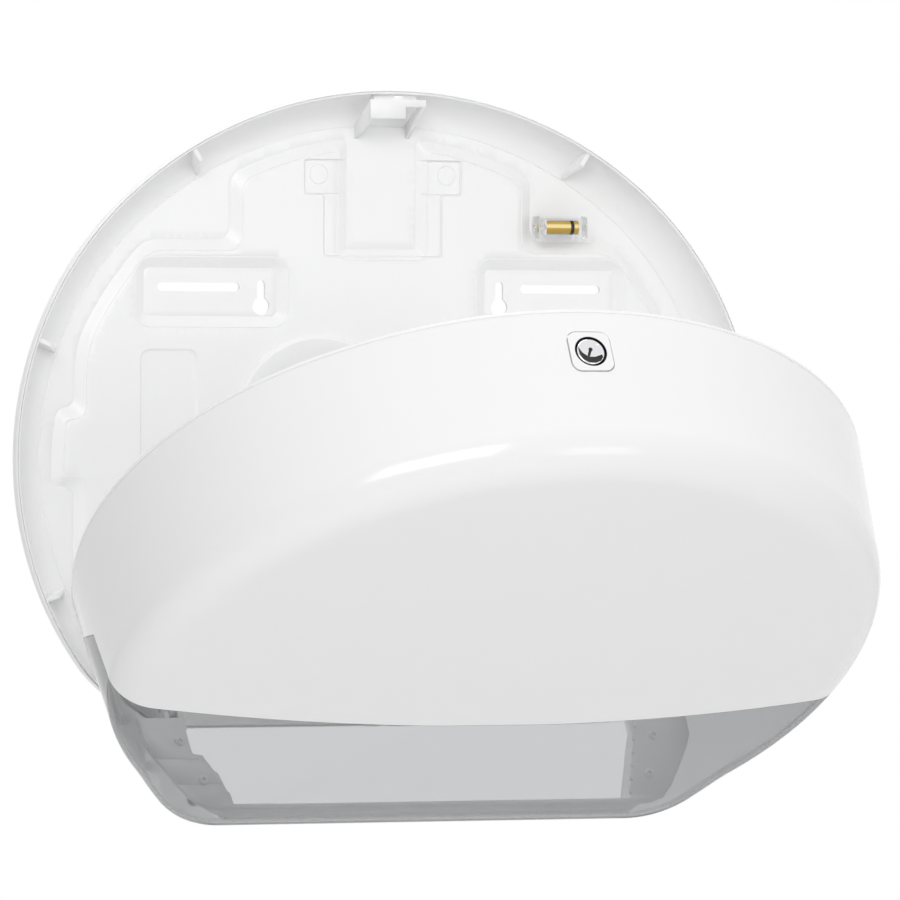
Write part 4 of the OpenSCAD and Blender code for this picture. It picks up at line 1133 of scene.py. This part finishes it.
def math_node(tree, operation, first, second):
    """A Math node; its inputs are sockets or numbers."""
    node = tree.nodes.new("ShaderNodeMath")
    node.operation = operation
    for socket, value in zip(node.inputs, (first, second)):
        if isinstance(value, (int, float)):
            socket.default_value = value
        else:
            tree.links.new(value, socket)
    return node.outputs["Value"]


def moulded(name, colour, roughness, bump=0.02, size=900, **sockets):
    """A moulding: faint cloudiness in its colour and its gloss, and a fine skin of grain."""
    mat, tree, bsdf = material(name, colour, roughness, **sockets)
    link = tree.links.new
    place = add_node(tree, "TexCoord").outputs["Object"]
    cloud = add_node(tree, "TexNoise", Scale=9, Detail=3)
    link(place, cloud.inputs["Vector"])
    shade = add_node(tree, "MapRange", To_Min=1 - CLOUD_TINT, To_Max=1)
    link(cloud.outputs["Fac"], shade.inputs["Value"])
    shaded = tree.nodes.new("ShaderNodeMix")
    shaded.data_type = "RGBA"
    shaded.blend_type = "MULTIPLY"
    shaded.inputs["Factor"].default_value = 1
    shaded.inputs["A"].default_value = (*colour, 1)
    link(shade.outputs["Result"], shaded.inputs["B"])
    link(shaded.outputs["Result"], bsdf.inputs["Base Color"])
    rough_low = roughness * (1 - CLOUD_GLOSS)
    gloss = add_node(tree, "MapRange", To_Min=rough_low, To_Max=roughness * (1 + CLOUD_GLOSS))
    link(cloud.outputs["Fac"], gloss.inputs["Value"])
    link(gloss.outputs["Result"], bsdf.inputs["Roughness"])
    grain = add_node(tree, "TexNoise", Scale=size, Detail=2)
    link(place, grain.inputs["Vector"])
    relief = add_node(tree, "Bump", Strength=bump, Distance=0.0002)
    link(grain.outputs["Fac"], relief.inputs["Height"])
    link(relief.outputs["Normal"], bsdf.inputs["Normal"])
    return mat


def smoke_tinted(name):
    """Smoke-tinted clear plastic, which turns dark and loses its gloss where seen edge on."""
    mat, tree, bsdf = material(name, (0.93, 0.94, 0.95), 0.03, Transmission_Weight=1.0, IOR=1.25)
    link = tree.links.new
    slant = add_node(tree, "LayerWeight", Blend=0.5)
    edge_on = add_node(tree, "MapRange", From_Min=0.7, From_Max=1.0)
    link(slant.outputs["Facing"], edge_on.inputs["Value"])
    tint = add_node(tree, "ValToRGB")
    face_on, dark = tint.color_ramp.elements
    face_on.color = (0.97, 0.975, 0.98, 1)
    dark.position = 0.8
    dark.color = (0.002, 0.002, 0.0025, 1)
    link(edge_on.outputs["Result"], tint.inputs["Fac"])
    link(tint.outputs["Color"], bsdf.inputs["Base Color"])
    loss = math_node(tree, "MULTIPLY", edge_on.outputs["Result"], 0.5)
    link(math_node(tree, "SUBTRACT", 0.5, loss), bsdf.inputs["Specular IOR Level"])
    absorb = add_node(tree, "VolumeAbsorption", Color=(0.30, 0.305, 0.315, 1), Density=205)
    link(absorb.outputs["Volume"], tree.nodes["Material Output"].inputs["Volume"])
    return mat


def vial_painted_light(name, edge, body, middle):
    """Tinted liquid in a tube, with a painted highlight as a pale band across its middle and
    painted shade at its top and bottom edges.
    """
    mat, tree, bsdf = material(name, body, 0.12, Coat_Weight=0.6)
    link = tree.links.new
    low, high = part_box("level_vial")
    place = add_node(tree, "TexCoord")
    split = add_node(tree, "SeparateXYZ")
    link(place.outputs["Object"], split.inputs["Vector"])
    height = add_node(tree, "MapRange", From_Min=low[2], From_Max=high[2])
    link(split.outputs["Z"], height.inputs["Value"])
    # Painted light by height in the vial: painted shade at the top and bottom edges, the body
    # colour between, and a pale painted highlight through the middle
    tint = add_node(tree, "ValToRGB")
    stops = (
        (0.12, body), (0.42, body), (0.52, middle), (0.68, middle), (0.78, body), (0.9, body),
        (1.0, edge))
    elements = tint.color_ramp.elements
    elements.remove(elements[1])
    elements[0].color = (*edge, 1)
    for where, colour in stops:
        elements.new(where).color = (*colour, 1)
    link(height.outputs["Result"], tint.inputs["Fac"])
    link(tint.outputs["Color"], bsdf.inputs["Base Color"])
    return mat


def dress(obj, mat):
    obj.data.materials.clear()
    obj.data.materials.append(mat)


plate_white = moulded("plate_white", (0.93, 0.93, 0.93), 0.32, bump=0.05)
cover_white = moulded("cover_white", (0.88, 0.88, 0.88), 0.12, size=500)
frame_white = moulded("frame_white", (0.92, 0.92, 0.92), 0.35, bump=0.05)
hub_grey = moulded("hub_grey", (0.75, 0.75, 0.76), 0.4, bump=0.06)
steel = moulded("steel", (0.62, 0.62, 0.63), 0.3, Metallic=1.0)
chrome = moulded("chrome", (0.8, 0.8, 0.82), 0.06, bump=0.0, Metallic=1.0)
friction = moulded("friction", (0.05, 0.05, 0.05), 0.6)
smoke = smoke_tinted("smoke")
clear = moulded("clear", (0.97, 0.98, 0.99), 0.06, bump=0.0, Transmission_Weight=1.0, IOR=1.2)
# The vial's liquid, with painted shade at its top and bottom and a painted highlight band through
# its middle
amber_painted_light = vial_painted_light("amber_painted_light", (0.33, 0.22, 0.02), (0.52, 0.33, 0.035), (0.93, 0.72, 0.30))
gold = moulded("gold", (0.80, 0.55, 0.05), 0.2, bump=0.0, Coat_Weight=0.5)
yellow = moulded("yellow", (0.75, 0.55, 0.06), 0.2)
# Black for the level's printed marks, and for the painted shade on the lock's plug
black = moulded("black", (0.01, 0.01, 0.01), 0.3)

# ------------------------------------------------------------------ pieces
plate = plate_skin()
fittings = plate_fittings()
shell, window = cover_pieces()
outlet = frame_skin()
plug, ring = lock_pieces()

# Each piece with its material, the body that it rides on, its slot and the node it replaces
PIECES = (
    (plate, plate_white, "plate", "plate_white", "back_plate"),
    (fittings, plate_white, "plate", "plate_white", "back_plate"),
    (shell, cover_white, "cover", "cover_white", "cover_shell"),
    (window, smoke, "cover", "smoke", "cover_window"),
    (outlet, frame_white, "cover", "frame_white", "outlet_frame"),
    (plug, chrome, "lock_barrel", "chrome", "lock_plug"),
    # The black ring and sheets on the lock's plug are painted shade
    (ring, black, "lock_barrel", "mark_black", "lock_plug"),
)
for obj, mat, body, slot, node in PIECES:
    dress(obj, mat)
    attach(obj, body)
    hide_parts(node)

NODE_LOOKS = (
    (plate_white, ("spindle_base", "stub_base", "hub_cap", "stub_cap")),
    (cover_white, ("lock_body",)),
    (frame_white, ("frame_screws",)),
    (hub_grey, ("roll_hub", "stub_hub")),
    (steel, ("spindle_screws", "stub_screws", "lock_screws", "cam_screw", "lock_cam")),
    (steel, ("spindle_axle", "stub_axle", "hinge_pins")),
    (friction, ("friction_washer",)),
    (clear, ("level_holder",)),
    (amber_painted_light, ("level_vial",)),
    (yellow, ("level_fluid",)),
    (black, ("level_marks",)),
    (gold, ("level_plug",)),
)
for mat, names in NODE_LOOKS:
    for name in names:
        dress(nodes[name], mat)

# ------------------------------------------------------------------ studio, in metres
LAMP_AIM = Vector((0, -0.12, -0.08))
# Soft boxes: azimuth, elevation, distance, width, height and radiance
LAMPS = {
    "key": (18, 3, 4, 1.2, 1.2, 1.7),
    "fill": (-25, 24, 4, 2.4, 1.6, 3.7),
    "over": (0, 85, 3, 2.0, 1.2, 2.2),
    "behind": (180, 68, 3, 2.0, 1.2, 5.4),
}
FLOOR_Z = -1.1
FLOOR_T = 0.02
FLOOR_HALF = 6
FLOOR_GLOW = 0.4
# The room's light grows along an axis: bright in front and to the sides, dark behind
ROOM = (("Y", -0.65), ("X", -0.48), ("X", 0.78))


def shows_backdrop(tree):
    """1 for the rays that see the backdrop itself, and 0 for those that light the object."""
    path = tree.nodes.new("ShaderNodeLightPath").outputs
    seen = math_node(tree, "MAXIMUM", path["Is Camera Ray"], path["Is Glossy Ray"])
    return math_node(tree, "MAXIMUM", seen, path["Is Transmission Ray"])


def make_lamp(name, azimuth, elevation, distance, width, height, radiance):
    """A soft box that faces the object from a direction."""
    way = direction(azimuth, elevation)
    data = bpy.data.lights.new(name, "AREA")
    data.shape = "RECTANGLE"
    data.size = width
    data.size_y = height
    data.energy = radiance * math.pi * width * height
    lamp = bpy.data.objects.new(name, data)
    lamp.location = LAMP_AIM + way * distance
    lamp.rotation_euler = (-way).to_track_quat("-Z", "Y").to_euler()
    bpy.context.scene.collection.objects.link(lamp)


def make_floor():
    half = FLOOR_HALF
    points, faces = block(-half, half, -half, half, FLOOR_Z - FLOOR_T, FLOOR_Z)
    floor = new_object("floor", points, faces)
    mat, tree, bsdf = material("floor_pale", (0.9, 0.9, 0.9), 0.8)
    bsdf.inputs["Emission Color"].default_value = (1, 1, 1, 1)
    glow = math_node(tree, "MULTIPLY", shows_backdrop(tree), FLOOR_GLOW)
    tree.links.new(glow, bsdf.inputs["Emission Strength"])
    dress(floor, mat)


def make_world():
    """A white backdrop, whose light on the object is the room's."""
    world = bpy.data.worlds.new("world")
    bpy.context.scene.world = world
    world.use_nodes = True
    tree = world.node_tree
    background = tree.nodes["Background"]
    background.inputs["Color"].default_value = (1, 1, 1, 1)
    place = add_node(tree, "TexCoord")
    split = add_node(tree, "SeparateXYZ")
    tree.links.new(place.outputs["Generated"], split.inputs["Vector"])
    room = 0.0
    for axis, strength in ROOM:
        side = math_node(tree, "MULTIPLY", split.outputs[axis], strength)
        room = math_node(tree, "ADD", math_node(tree, "MAXIMUM", side, 0.0), room)
    mix = tree.nodes.new("ShaderNodeMix")
    mix.data_type = "FLOAT"
    mix.inputs["B"].default_value = 1.0
    tree.links.new(shows_backdrop(tree), mix.inputs["Factor"])
    tree.links.new(room, mix.inputs["A"])
    tree.links.new(mix.outputs["Result"], background.inputs["Strength"])


make_floor()
make_world()
for name, values in LAMPS.items():
    make_lamp(name, *values)
bpy.context.scene.view_settings.view_transform = "Standard"
